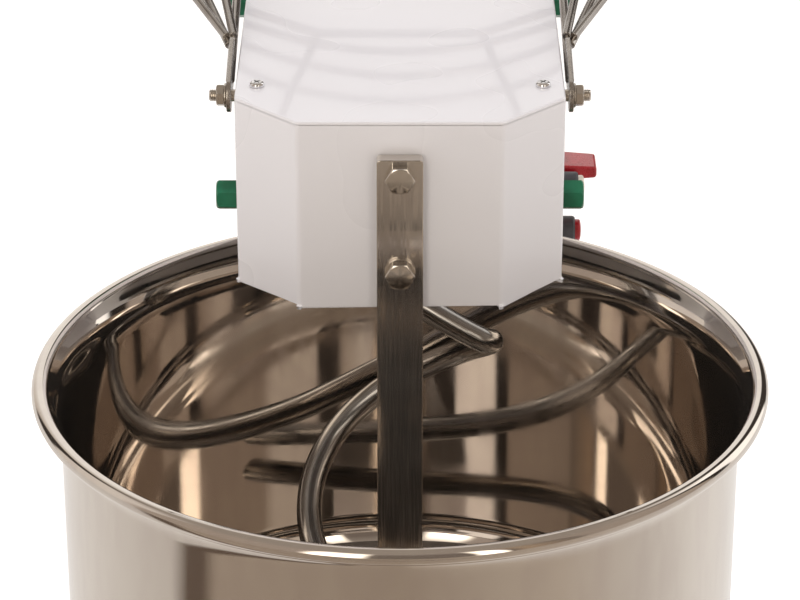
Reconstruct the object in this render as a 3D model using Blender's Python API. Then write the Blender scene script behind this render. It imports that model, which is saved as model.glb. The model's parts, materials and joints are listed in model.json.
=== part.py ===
"""Commercial spiral dough mixer: fixed head, turning bowl, spiral hook, breaker bar and wire guard.

Metres, +Z up, +Y towards the column at the back. The guard is raised, its rest pose.
"""

import math

import bmesh
import bpy
from mathutils import Matrix, Vector

MM = 0.001

# Overall layout
BOWL_Y = -159 * MM
RIM_Z = 645 * MM
FRONT_Y = BOWL_Y
COLUMN_Y = 103 * MM
REAR_Y = 399 * MM
BODY_HALF_WIDTH = 107 * MM
CHAMFER = 41.2 * MM
HEAD_BOTTOM_Z = 695.5 * MM
HEAD_TOP_Z = 825 * MM
BASE_TOP_Z = 345 * MM
BASE_BOTTOM_Z = 42 * MM
SHEET = 2 * MM
GAP = 0.3 * MM

# Bowl
RIM_RADIUS = 241 * MM
BEAD_RADIUS = 5.5 * MM
WALL_RADIUS = 223 * MM
BOWL_DEPTH = 258 * MM
BOWL_CORNER = 32 * MM
BOWL_FLARE = 20 * MM
BOWL_SHAFT_RADIUS = 20 * MM

# Spiral hook
SPIRAL_Y = -17 * MM
ROD_RADIUS = 9 * MM
SPIRAL_SHAFT_RADIUS = 15 * MM

# Drive
DRIVE_Y = 190 * MM
DRIVE_SHAFT_RADIUS = 12.5 * MM
MOTOR_Y = 310 * MM
MOTOR_RADIUS = 58 * MM
CHAIN_PITCH = 12.7 * MM
UPPER_TEETH = 20
LOWER_TEETH = 11
BOWL_TEETH = 88
UPPER_CHAIN_Z = 788 * MM
LOWER_CHAIN_Z = 236 * MM
SPROCKET_WIDTH = 7 * MM
SHAFT_BOTTOM_Z = 132 * MM
HEAD_BEAM_Z = 740 * MM
BASE_BEAM_Z = 160 * MM
BEAM_THICKNESS = 12 * MM
BEAM_HALF_WIDTH = 95 * MM

# Breaker bar
BAR_WIDTH = 30 * MM
BAR_THICKNESS = 10 * MM
BAR_TOP_Z = RIM_Z + 158 * MM
BAR_BOTTOM_Z = RIM_Z - 240 * MM
BAR_BOLT_Z = (RIM_Z + 146 * MM, RIM_Z + 80 * MM)
BAR_BOLT_RADIUS = 5 * MM

# Guard
PIVOT_Y = -85 * MM
PIVOT_Z = RIM_Z + 168 * MM
GUARD_OPEN_ANGLE = math.radians(170)
WIRE_RADIUS = 3 * MM
GUARD_ARM_X = 112 * MM
GUARD_RING_RADIUS = 232 * MM
GUARD_RING_DROP = 154 * MM
PLATE_THICKNESS = 3 * MM
PLATE_LENGTH = 52 * MM
STUD_RADIUS = 4 * MM

# Wires of the closed guard in mm: sideways, forward of the pivot and above it. Each is its right half.
GUARD_FRAME = [(112, 18, 0), (112, 176, 0), (110.5, 183, -0.5), (104, 188, -3), (63, 203, -20), (52, 205, -22)]
GUARD_FRAME += [(0, 205, -22)]
GUARD_BOWS = {
    "bow_1": [(111.5, 67, -4.5), (130, 186, -4), (100, 207, -19), (55, 222.5, -35), (0, 229, -41)],
    "bow_2": [(114.5, 66, 2), (153, 190, -4), (100, 228, -41), (52, 245, -57), (0, 251, -64)],
    "bow_3": [(116.5, 71, -1.5), (176, 194, -8), (100, 250, -67), (50, 265, -81), (0, 271, -87)],
    "bow_4": [(191, 106, -80), (200, 180, -82), (165, 238, -99), (100, 265, -110), (50, 283, -119), (0, 289, -122)],
}
GUARD_STRUT = [(145, 142, -5.5), (191, 106, -80), (231.5, 75, -153.5)]
GUARD_RADIAL = [(58, 204, -21), (63, 219, -33.5), (70, 239, -53), (80, 256.5, -74), (92, 268, -109)]
GUARD_RADIAL += [(107, 279.5, -154)]

# Bolt caps on the head's sides, as (y, z)
CAP_PLACES = {"front": (-85 * MM, RIM_Z + 97 * MM), "rear": (98 * MM, RIM_Z + 163 * MM)}
CAP_ACROSS = 18 * MM
CAP_HEIGHT = 14.5 * MM

GLAND_PLACE = (-BODY_HALF_WIDTH, 360 * MM, 380 * MM)
GLAND_RADIUS = 8 * MM

# Controls on the column's right side
SWITCH_Y = 145 * MM
SWITCH_Z = RIM_Z + 18 * MM
BUTTON_Z = {"start_button": RIM_Z + 14 * MM, "stop_button": RIM_Z - 34 * MM}
BUTTON_Y = {"start_button": 117 * MM, "stop_button": 145 * MM}

# Places in plan, in mm
LID_SCREWS = {"front_left": (-93, -98), "front_right": (93, -98), "rear_left": (-93, 370), "rear_right": (93, 370)}
FEET = {"front_left": (-130, -230), "front_right": (130, -230), "rear_left": (-130, 350), "rear_right": (130, 350)}
FOOT_STEM_RADIUS = 5 * MM

# Base
BASE_FRONT_RADIUS = 205 * MM
BASE_HALF_WIDTH = 165 * MM
BASE_SHOULDER_Y = -9 * MM


def clear_scene():
    for obj in list(bpy.data.objects):
        bpy.data.objects.remove(obj, do_unlink=True)


def finish(name, colour, roughness, metallic=0.0):
    """A Principled material, made once for each name."""
    material = bpy.data.materials.get(name)
    if material is None:
        material = bpy.data.materials.new(name)
        material.use_nodes = True
        shader = material.node_tree.nodes["Principled BSDF"]
        shader.inputs["Base Color"].default_value = (*colour, 1.0)
        shader.inputs["Roughness"].default_value = roughness
        shader.inputs["Metallic"].default_value = metallic
    return material


def white_paint():
    return finish("white_paint", (0.86, 0.85, 0.84), 0.25)


def stainless():
    return finish("stainless", (0.62, 0.60, 0.57), 0.18, 1.0)


def zinc_steel():
    return finish("zinc_steel", (0.55, 0.56, 0.58), 0.35, 1.0)


def black_steel():
    return finish("black_steel", (0.08, 0.08, 0.085), 0.5, 0.6)


def cast_grey():
    return finish("cast_grey", (0.33, 0.35, 0.37), 0.55, 0.3)


def green_plastic():
    return finish("green_plastic", (0.01, 0.16, 0.08), 0.35)


def red_plastic():
    return finish("red_plastic", (0.55, 0.02, 0.02), 0.3)


def dark_plastic():
    return finish("dark_plastic", (0.06, 0.06, 0.065), 0.45)


def rubber():
    return finish("rubber", (0.03, 0.03, 0.03), 0.8)


def add(name, bm, material, parent=None, at=(0, 0, 0), turn=(0, 0, 0)):
    """Puts a bmesh into the scene as one object, at a place and turn in its parent's frame."""
    bmesh.ops.recalc_face_normals(bm, faces=bm.faces)
    mesh = bpy.data.meshes.new(name)
    bm.to_mesh(mesh)
    bm.free()
    obj = bpy.data.objects.new(name, mesh)
    obj.location = at
    obj.rotation_euler = turn
    bpy.context.scene.collection.objects.link(obj)
    if material is not None:
        mesh.materials.append(material)
    if parent is not None:
        obj.parent = parent
    return obj


def axis_empty(name, at, turn=(0, 0, 0)):
    empty = bpy.data.objects.new(name, None)
    empty.location = at
    empty.rotation_euler = turn
    bpy.context.scene.collection.objects.link(empty)
    return empty


def boolean(obj, other, operation):
    other.hide_render = True
    other.display_type = "WIRE"
    modifier = obj.modifiers.new(other.name, "BOOLEAN")
    modifier.operation = operation
    modifier.solver = "EXACT"
    modifier.object = other


def cut(obj, bm, name, at=(0, 0, 0), turn=(0, 0, 0)):
    boolean(obj, add(f"cut_{name}", bm, None, obj.parent, at, turn), "DIFFERENCE")


def join(obj, bm, name, at=(0, 0, 0), turn=(0, 0, 0)):
    boolean(obj, add(f"join_{name}", bm, None, obj.parent, at, turn), "UNION")


def prism(outline, low, high, bm=None):
    """A straight prism from a plan outline of (x, y) points."""
    bm = bm or bmesh.new()
    face = bm.faces.new([bm.verts.new((x, y, low)) for x, y in outline])
    raised = bmesh.ops.extrude_face_region(bm, geom=[face])["geom"]
    verts = [item for item in raised if isinstance(item, bmesh.types.BMVert)]
    bmesh.ops.translate(bm, verts=verts, vec=(0, 0, high - low))
    return bm


def box(low, high, bm=None):
    outline = [(low[0], low[1]), (high[0], low[1]), (high[0], high[1]), (low[0], high[1])]
    return prism(outline, low[2], high[2], bm)


def lathe(profile, segments=32, closed=False):
    """Turns (radius, z) points about Z. A closed profile makes a ring, an open one starts and ends on the axis."""
    bm = bmesh.new()
    rings = []
    for radius, z in profile:
        if radius == 0:
            rings.append([bm.verts.new((0, 0, z))])
            continue
        angles = [2 * math.pi * i / segments for i in range(segments)]
        rings.append([bm.verts.new((radius * math.cos(a), radius * math.sin(a), z)) for a in angles])
    pairs = list(zip(rings, rings[1:]))
    if closed:
        pairs.append((rings[-1], rings[0]))
    for first, second in pairs:
        for i in range(segments):
            corners = [first[i % len(first)], first[(i + 1) % len(first)]]
            corners += [second[(i + 1) % len(second)], second[i % len(second)]]
            bm.faces.new(list(dict.fromkeys(corners)))
    return bm


def rod(radius, low, high, segments=32):
    return lathe([(0, low), (radius, low), (radius, high), (0, high)], segments)


def tube(inner, outer, low, high, segments=32):
    return lathe([(inner, low), (outer, low), (outer, high), (inner, high)], segments, closed=True)


def arc(centre, radius, start, end, steps):
    """Points on a circle from one angle to another, in degrees."""
    angles = [math.radians(start + (end - start) * i / steps) for i in range(steps + 1)]
    return [(centre[0] + radius * math.cos(a), centre[1] + radius * math.sin(a)) for a in angles]


def smooth_path(points, steps):
    """A Catmull-Rom curve through the points."""
    points = [Vector(p) for p in points]
    padded = [2 * points[0] - points[1]] + points + [2 * points[-1] - points[-2]]
    path = []
    for a, b, c, d in zip(padded, padded[1:], padded[2:], padded[3:]):
        for i in range(steps):
            t = i / steps
            bend = (2 * a - 5 * b + 4 * c - d) * t * t + (3 * b - 3 * c + d - a) * t**3
            path.append(0.5 * (2 * b + (c - a) * t + bend))
    return path + [points[-1]]


def sweep(path, radius, sides=8):
    """A round rod along a path, with flat ends, carried without twist."""
    path = [Vector(p) for p in path]
    bm = bmesh.new()
    tangents = [(path[min(i + 1, len(path) - 1)] - path[max(i - 1, 0)]).normalized() for i in range(len(path))]
    side = tangents[0].orthogonal().normalized()
    rings = []
    for point, tangent in zip(path, tangents):
        side = (side - side.dot(tangent) * tangent).normalized()
        other = tangent.cross(side)
        angles = [2 * math.pi * k / sides for k in range(sides)]
        offsets = [side * math.cos(a) + other * math.sin(a) for a in angles]
        rings.append([bm.verts.new(point + radius * offset) for offset in offsets])
    for first, second in zip(rings, rings[1:]):
        for k in range(sides):
            bm.faces.new((first[k], first[(k + 1) % sides], second[(k + 1) % sides], second[k]))
    bm.faces.new(rings[0])
    bm.faces.new(rings[-1])
    return bm


def body_outline(inset, rear):
    """The plan of the head and column: flat front, two 45 degree corners, straight sides."""
    half = BODY_HALF_WIDTH - inset
    shoulder = inset * math.tan(math.radians(22.5))
    flat = BODY_HALF_WIDTH - CHAMFER - shoulder
    front = FRONT_Y + inset
    corner = FRONT_Y + CHAMFER + shoulder
    return [(-flat, front), (flat, front), (half, corner), (half, rear), (-half, rear), (-half, corner)]


def cylinder_along_x(radius, low, high, segments=24):
    bm = rod(radius, low, high, segments)
    bmesh.ops.rotate(bm, verts=bm.verts, matrix=Matrix.Rotation(math.pi / 2, 3, "Y"))
    return bm


def cylinder_along_y(radius, low, high, segments=24):
    bm = rod(radius, low, high, segments)
    bmesh.ops.rotate(bm, verts=bm.verts, matrix=Matrix.Rotation(-math.pi / 2, 3, "X"))
    return bm


def make_body_shell():
    """The welded white skin of the head and column, open at the top and the rear."""
    top = HEAD_TOP_Z - SHEET - 0.5 * MM
    shell = add("body_shell", prism(body_outline(0, REAR_Y), HEAD_BOTTOM_Z, top), white_paint())
    half = BODY_HALF_WIDTH
    join(shell, box((-half, COLUMN_Y, BASE_TOP_Z + GAP), (half, REAR_Y, HEAD_BOTTOM_Z + 20 * MM)), "column")
    past = 10 * MM
    cut(shell, prism(body_outline(SHEET, REAR_Y + past), HEAD_BOTTOM_Z - past, top + past), "head_inside")
    low = (-half + SHEET, COLUMN_Y + SHEET, BASE_TOP_Z - past)
    cut(shell, box(low, (half - SHEET, REAR_Y + past, HEAD_BOTTOM_Z + past)), "column_inside")
    cut(shell, cylinder_along_x(STUD_RADIUS + GAP, -0.15, 0.15), "pivot_holes", (0, PIVOT_Y, PIVOT_Z))
    for number, z in enumerate(BAR_BOLT_Z):
        hole = cylinder_along_y(BAR_BOLT_RADIUS + GAP, -past, past)
        cut(shell, hole, f"bar_hole_{number}", (0, FRONT_Y, z))
    hole = cylinder_along_x(7 * MM + GAP, -0.03, 0.03)
    cut(shell, hole, "switch_hole", (BODY_HALF_WIDTH, SWITCH_Y, SWITCH_Z))
    for name, z in BUTTON_Z.items():
        hole = cylinder_along_x(6 * MM + GAP, -0.03, 0.03)
        cut(shell, hole, f"{name}_hole", (BODY_HALF_WIDTH, BUTTON_Y[name], z))
    cut(shell, cylinder_along_x(GLAND_RADIUS + GAP, -0.02, 0.02), "gland_hole", GLAND_PLACE)
    for name, (x, y) in LID_SCREWS.items():
        add_lid_tab(shell, name, x * MM, y * MM, top)


def add_lid_tab(shell, name, x, y, top):
    """A tab welded inside the skin, with a hole for a lid screw."""
    outer = math.copysign(BODY_HALF_WIDTH - SHEET / 2, x)
    inner = math.copysign(BODY_HALF_WIDTH - 24 * MM, x)
    low = (min(outer, inner), y - 9 * MM, top - 10 * MM)
    high = (max(outer, inner), y + 5 * MM, top - 8 * MM)
    join(shell, box(low, high), f"tab_{name}")
    cut(shell, rod(2.5 * MM + GAP, -5 * MM, 5 * MM, 16), f"tab_hole_{name}", (x, y, top - 9 * MM))


def make_lid():
    lid = add("top_lid", prism(body_outline(0, REAR_Y), HEAD_TOP_Z - SHEET, HEAD_TOP_Z), white_paint())
    lip_top = HEAD_TOP_Z - SHEET / 2
    lip = HEAD_TOP_Z - 5 * MM
    inset = SHEET + 0.6 * MM
    join(lid, prism(body_outline(inset, REAR_Y - 1 * MM), lip, lip_top), "lid_lip")
    past = 2 * MM
    inside = prism(body_outline(inset + SHEET, REAR_Y - 3 * MM), lip - past, HEAD_TOP_Z - SHEET)
    cut(lid, inside, "lid_inside")
    for name, (x, y) in LID_SCREWS.items():
        hole = rod(2.5 * MM + GAP, -20 * MM, 20 * MM, 16)
        cut(lid, hole, f"lid_hole_{name}", (x * MM, y * MM, HEAD_TOP_Z))


def make_lid_screws():
    """Pan-head screws with a plain cross recess."""
    for name, (x, y) in LID_SCREWS.items():
        profile = [(0, -16 * MM), (2.5 * MM, -16 * MM), (2.5 * MM, GAP), (4.8 * MM, GAP)]
        profile += [(4.8 * MM, 1.6 * MM), (3.6 * MM, 2.8 * MM), (0, 3.2 * MM)]
        at = (x * MM, y * MM, HEAD_TOP_Z)
        screw = add(f"lid_screw_{name}", lathe(profile, 16), zinc_steel(), at=at)
        for turn in (0, math.pi / 2):
            slot = box((-2.4 * MM, -0.5 * MM, 1.8 * MM), (2.4 * MM, 0.5 * MM, 5 * MM))
            cut(screw, slot, f"cross_{name}_{turn:.0f}", at, (0, 0, turn))


def make_head_underplate():
    low, high = HEAD_BOTTOM_Z + 1.5 * MM, HEAD_BOTTOM_Z + 3.5 * MM
    plate = add("head_underplate", prism(body_outline(SHEET + GAP, COLUMN_Y + 10 * MM), low, high), white_paint())
    cut(plate, rod(34 * MM, -0.02, 0.02, 40), "underplate_hole", (0, SPIRAL_Y, low))


def make_rear_panel():
    """The removable rear cover, with louvre slots for the motor's cooling air."""
    low = (-BODY_HALF_WIDTH, REAR_Y + GAP, BASE_TOP_Z + GAP)
    high = (BODY_HALF_WIDTH, REAR_Y + 1 * MM, HEAD_TOP_Z)
    panel = add("rear_panel", box(low, high), white_paint())
    slots = bmesh.new()
    for row in range(7):
        z = 600 * MM + row * 16 * MM
        box((-55 * MM, REAR_Y - 5 * MM, z), (55 * MM, REAR_Y + 8 * MM, z + 6 * MM), slots)
    cut(panel, slots, "louvres")


def base_outline(inset):
    """Half-round at the front under the bowl, square at the rear."""
    rear = REAR_Y - inset
    front = arc((0, BOWL_Y), BASE_FRONT_RADIUS - inset, -180, 0, 20)
    half = BASE_HALF_WIDTH - inset
    return front + [(half, BASE_SHOULDER_Y), (half, rear), (-half, rear), (-half, BASE_SHOULDER_Y)]


def make_base_housing():
    """The painted base under the bowl and column, open underneath."""
    housing = add("base_housing", prism(base_outline(0), BASE_BOTTOM_Z, BASE_TOP_Z), white_paint())
    cut(housing, prism(base_outline(SHEET), BASE_BOTTOM_Z - 0.01, BASE_TOP_Z - SHEET), "base_inside")
    cut(housing, rod(48 * MM, -0.02, 0.02, 40), "bowl_shaft_hole", (0, BOWL_Y, BASE_TOP_Z))
    inner = BODY_HALF_WIDTH - 3 * SHEET
    low = (-inner, COLUMN_Y + 3 * SHEET, BASE_TOP_Z - 0.02)
    cut(housing, box(low, (inner, REAR_Y - 4 * SHEET, BASE_TOP_Z + 0.02)), "column_opening")


def make_base_bottom_plate():
    outline = base_outline(SHEET + GAP)
    plate = add("base_bottom_plate", prism(outline, BASE_BOTTOM_Z, BASE_BOTTOM_Z + 3 * MM), zinc_steel())
    for name, (x, y) in FEET.items():
        hole = rod(FOOT_STEM_RADIUS + GAP, -0.02, 0.02, 16)
        cut(plate, hole, f"foot_hole_{name}", (x * MM, y * MM, BASE_BOTTOM_Z))


def make_feet():
    """Adjustable feet: a rubber-faced pad on a threaded stem that screws into a leg of the frame."""
    for name, (x, y) in FEET.items():
        stem_top = BASE_BOTTOM_Z + 28 * MM
        profile = [(0, 0), (20 * MM, 0), (24 * MM, 4 * MM), (22 * MM, 14 * MM), (9 * MM, 18 * MM)]
        profile += [(9 * MM, 30 * MM), (FOOT_STEM_RADIUS, 30 * MM), (FOOT_STEM_RADIUS, stem_top), (0, stem_top)]
        add(f"foot_{name}", lathe(profile, 24), rubber(), at=(x * MM, y * MM, 0))


def make_base_beam():
    """The welded floor frame: a thick plate on four legs, which the foot stems enter."""
    low = (-BEAM_HALF_WIDTH, BOWL_Y - 150 * MM, BASE_BEAM_Z)
    beam = add("base_beam", box(low, (BEAM_HALF_WIDTH, 385 * MM, BASE_BEAM_Z + BEAM_THICKNESS)), black_steel())
    for name, (x, y) in FEET.items():
        outer = x * MM + math.copysign(12 * MM, x)
        inner = math.copysign(80 * MM, x)
        bracket_low = (min(outer, inner), (y - 12) * MM, BASE_BEAM_Z - 12 * MM)
        bracket_high = (max(outer, inner), (y + 12) * MM, BASE_BEAM_Z + 2 * MM)
        join(beam, box(bracket_low, bracket_high), f"bracket_{name}")
        leg_low = ((x - 12) * MM, (y - 12) * MM, BASE_BOTTOM_Z + 3.3 * MM)
        leg_high = ((x + 12) * MM, (y + 12) * MM, BASE_BEAM_Z - 5 * MM)
        join(beam, box(leg_low, leg_high), f"leg_{name}")
        stem = rod(FOOT_STEM_RADIUS + GAP, -0.02, 0.034, 16)
        cut(beam, stem, f"stem_hole_{name}", (x * MM, y * MM, BASE_BOTTOM_Z))
    cut(beam, rod(30 * MM, -0.03, 0.03), "bowl_shaft_way", (0, BOWL_Y, BASE_BEAM_Z))
    cut(beam, rod(20 * MM, -0.03, 0.03), "drive_shaft_way", (0, DRIVE_Y, BASE_BEAM_Z))


def make_column_uprights():
    for name, side in (("left", -1), ("right", 1)):
        faces = sorted((side * 86 * MM, side * 94 * MM))
        low = (faces[0], 118 * MM, BASE_BEAM_Z + BEAM_THICKNESS + GAP)
        upright = box(low, (faces[1], 380 * MM, HEAD_BEAM_Z - GAP))
        add(f"column_upright_{name}", upright, black_steel())


def make_head_beam():
    """The welded head frame: a thick plate for the bearings and a front plate for the breaker bar."""
    plate_half = 60 * MM
    beam = box((-BEAM_HALF_WIDTH, -105 * MM, HEAD_BEAM_Z), (BEAM_HALF_WIDTH, 385 * MM, HEAD_BEAM_Z + BEAM_THICKNESS))
    beam = add("head_beam", beam, black_steel())
    front = FRONT_Y + SHEET + GAP
    join(beam, box((-plate_half, front, 708 * MM), (plate_half, front + 8 * MM, 812 * MM)), "bar_plate")
    join(beam, box((-55 * MM, front + 4 * MM, HEAD_BEAM_Z), (55 * MM, -95 * MM, 752 * MM)), "bar_neck")
    for number, z in enumerate(BAR_BOLT_Z):
        hole = cylinder_along_y(BAR_BOLT_RADIUS + GAP, -0.02, 0.03)
        cut(beam, hole, f"beam_bolt_hole_{number}", (0, FRONT_Y, z))
    cut(beam, rod(24 * MM, -0.03, 0.03), "spiral_way", (0, SPIRAL_Y, HEAD_BEAM_Z))
    cut(beam, rod(20 * MM, -0.03, 0.03), "drive_way", (0, DRIVE_Y, HEAD_BEAM_Z))
    motor_well = rod(MOTOR_RADIUS + 6 * MM, -0.03, 0.03)
    cut(beam, motor_well, "motor_way", (0, MOTOR_Y, HEAD_BEAM_Z))


def bearing(name, y, face_z, direction, shaft_radius):
    """A flanged bearing unit bolted to a beam's face, its boss pointing up (+1) or down (-1)."""
    bore = shaft_radius + GAP
    boss = shaft_radius + 12 * MM
    flange = shaft_radius + 24 * MM
    profile = [(bore, GAP), (flange, GAP), (flange, 8 * MM), (boss, 11 * MM), (boss, 22 * MM), (bore, 22 * MM)]
    turn = (0, 0, 0) if direction > 0 else (math.pi, 0, 0)
    add(name, lathe(profile, 32, closed=True), cast_grey(), at=(0, y, face_z), turn=turn)


def make_bearings():
    base_top = BASE_BEAM_Z + BEAM_THICKNESS
    head_top = HEAD_BEAM_Z + BEAM_THICKNESS
    bearing("bowl_bearing_upper", BOWL_Y, base_top, 1, BOWL_SHAFT_RADIUS)
    bearing("bowl_bearing_lower", BOWL_Y, BASE_BEAM_Z, -1, BOWL_SHAFT_RADIUS)
    bearing("drive_bearing_lower", DRIVE_Y, BASE_BEAM_Z, -1, DRIVE_SHAFT_RADIUS)
    bearing("drive_bearing_upper", DRIVE_Y, head_top, 1, DRIVE_SHAFT_RADIUS)
    bearing("spiral_bearing_upper", SPIRAL_Y, head_top, 1, SPIRAL_SHAFT_RADIUS)
    bearing("spiral_bearing_lower", SPIRAL_Y, HEAD_BEAM_Z, -1, SPIRAL_SHAFT_RADIUS)


def pitch_radius(teeth):
    return CHAIN_PITCH / (2 * math.sin(math.pi / teeth))


def sprocket(name, teeth, chain_z, shaft_radius, parent):
    """A plain chain sprocket with trapezoid teeth and a bore."""
    pitch = pitch_radius(teeth)
    outline = []
    for tooth in range(teeth):
        for offset, radius in ((0.12, -4.2), (0.38, 2.6), (0.62, 2.6), (0.88, -4.2)):
            angle = 2 * math.pi * (tooth + offset) / teeth
            reach = pitch + radius * MM
            outline.append((reach * math.cos(angle), reach * math.sin(angle)))
    wheel = add(name, prism(outline, -SPROCKET_WIDTH / 2, SPROCKET_WIDTH / 2), zinc_steel(), parent, (0, 0, chain_z))
    cut(wheel, rod(shaft_radius + GAP, -0.02, 0.02), f"{name}_bore", (0, 0, chain_z))


def chain(name, first_y, first_teeth, second_y, second_teeth, z):
    """The chain as a plain band that wraps both sprockets just outside their teeth."""
    clearance = 3.8 * MM
    thickness = 6 * MM
    first = pitch_radius(first_teeth) + clearance
    second = pitch_radius(second_teeth) + clearance
    lean = math.degrees(math.asin((first - second) / (second_y - first_y)))
    loops = []
    for extra in (0, thickness):
        front = arc((0, first_y), first + extra, lean, -180 - lean, 20)
        back = arc((0, second_y), second + extra, 180 - lean, lean, 20)
        loops.append(front + back)
    bm = bmesh.new()
    rings = []
    for height in (-4 * MM, 4 * MM):
        rings.append([[bm.verts.new((x, y, z + height)) for x, y in loop] for loop in loops])
    count = len(loops[0])
    for i in range(count):
        j = (i + 1) % count
        for level in (0, 1):
            inner, outer = rings[level]
            bm.faces.new((inner[i], inner[j], outer[j], outer[i]))
        for side in (0, 1):
            bm.faces.new((rings[0][side][i], rings[0][side][j], rings[1][side][j], rings[1][side][i]))
    add(name, bm, zinc_steel())


def make_bowl(axis):
    """The open stainless bowl with a rolled bead round its rim."""
    floor = -BOWL_DEPTH
    bead = RIM_RADIUS - BEAD_RADIUS
    turn = WALL_RADIUS - BOWL_CORNER
    outer = [(0, floor - SHEET), *arc((turn, floor - SHEET + BOWL_CORNER), BOWL_CORNER, -90, 0, 5)]
    outer += [(WALL_RADIUS, -BOWL_FLARE)]
    rolled = arc((bead, 0), BEAD_RADIUS, -160, 160, 10)
    inner_corner = BOWL_CORNER - SHEET
    inner = [(WALL_RADIUS - SHEET, -BOWL_FLARE)]
    inner += arc((turn, floor + inner_corner), inner_corner, 0, -90, 5)
    inner += [(0, floor)]
    add("bowl", lathe(outer + rolled + inner, 48), stainless(), axis, (0, 0, RIM_Z))


def make_bowl_hub(axis):
    """The flange welded under the bowl and the shaft that turns it."""
    top = RIM_Z - BOWL_DEPTH - SHEET - GAP
    flange = 80 * MM
    under = top - 10 * MM
    profile = [(0, SHAFT_BOTTOM_Z), (BOWL_SHAFT_RADIUS, SHAFT_BOTTOM_Z), (BOWL_SHAFT_RADIUS, under)]
    profile += [(flange, under), (flange, top), (0, top)]
    add("bowl_hub", lathe(profile, 40), zinc_steel(), axis)


def hook_path():
    """The centreline of the hook in the spiral axis's frame: down from the flange, out on an arm, then a helix."""
    points = [(0, 0, 42), (0, 0, 12), (5, 0, -10), (22, 0, -23), (44, 0, -37), (59, 1, -46)]
    helix = [(103, 65, -54), (135, 65, -76), (165, 65, -98), (195, 65, -119), (225, 66.5, -144), (255, 66, -170)]
    helix += [(285, 65, -196), (315, 64, -216), (345, 64, -230), (375, 64, -239), (400, 64, -242)]
    for bearing_angle, radius, z in helix:
        angle = math.radians(bearing_angle)
        points.append((radius * math.sin(angle), -radius * math.cos(angle), z))
    return smooth_path([(x * MM, y * MM, z * MM) for x, y, z in points], 3)


def make_spiral(axis):
    path = [point + Vector((0, 0, RIM_Z)) for point in hook_path()]
    hook = add("spiral_hook", sweep(path, ROD_RADIUS, 12), stainless(), axis)
    flange_top = RIM_Z + 48 * MM
    profile = [(0, flange_top - 14 * MM), (24 * MM, flange_top - 14 * MM), (24 * MM, flange_top), (0, flange_top)]
    join(hook, lathe(profile, 32), "hook_flange")
    shaft = rod(SPIRAL_SHAFT_RADIUS, flange_top + GAP, UPPER_CHAIN_Z + 14 * MM)
    add("spiral_shaft", shaft, zinc_steel(), axis)
    sprocket("spiral_sprocket", UPPER_TEETH, UPPER_CHAIN_Z, SPIRAL_SHAFT_RADIUS, axis)


def make_drive(axis):
    shaft = rod(DRIVE_SHAFT_RADIUS, SHAFT_BOTTOM_Z, UPPER_CHAIN_Z + 14 * MM)
    add("drive_shaft", shaft, zinc_steel(), axis)
    sprocket("drive_sprocket_upper", UPPER_TEETH, UPPER_CHAIN_Z, DRIVE_SHAFT_RADIUS, axis)
    sprocket("drive_sprocket_lower", LOWER_TEETH, LOWER_CHAIN_Z, DRIVE_SHAFT_RADIUS, axis)


def make_gearbox():
    """The reducer housing, clamped between the uprights, with a hollow output for the drive shaft."""
    low = (-72 * MM, 125 * MM, 430 * MM)
    high = (72 * MM, 385 * MM, 545 * MM)
    housing = add("gearbox_housing", box(low, high), cast_grey())
    join(housing, box((-85.5 * MM, 220 * MM, 450 * MM), (85.5 * MM, 300 * MM, 470 * MM)), "gearbox_lugs")
    join(housing, rod(34 * MM, 420 * MM, 555 * MM), "gearbox_hub", (0, DRIVE_Y, 0))
    cut(housing, rod(DRIVE_SHAFT_RADIUS + GAP, 0.4, 0.6), "gearbox_bore", (0, DRIVE_Y, 0))


def make_motor():
    """The motor's finned body and fan cover, standing on the gearbox."""
    bottom = 545 * MM + GAP
    top = 725 * MM
    outline = []
    fins = 20
    root = MOTOR_RADIUS - 6 * MM
    for fin in range(fins):
        for offset, radius in ((0.0, root), (0.55, root), (0.6, MOTOR_RADIUS), (0.95, MOTOR_RADIUS)):
            angle = 2 * math.pi * (fin + offset) / fins
            outline.append((radius * math.cos(angle), radius * math.sin(angle)))
    body = add("motor_body", prism(outline, bottom + 8 * MM, top), cast_grey(), at=(0, MOTOR_Y, 0))
    flange = rod(MOTOR_RADIUS + 6 * MM, bottom, bottom + 10 * MM, 40)
    join(body, flange, "motor_flange", (0, MOTOR_Y, 0))
    cover_low = top + GAP
    radius = MOTOR_RADIUS + 1 * MM
    profile = [(0, cover_low), (radius, cover_low), (radius, cover_low + 40 * MM)]
    profile += [(radius - 10 * MM, cover_low + 50 * MM), (0, cover_low + 50 * MM)]
    add("motor_fan_cover", lathe(profile, 32), black_steel(), at=(0, MOTOR_Y, 0))


def make_electrical_box():
    low = (60 * MM, 128 * MM, 560 * MM)
    add("electrical_box", box(low, (85 * MM, 232 * MM, 640 * MM)), dark_plastic())


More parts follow.
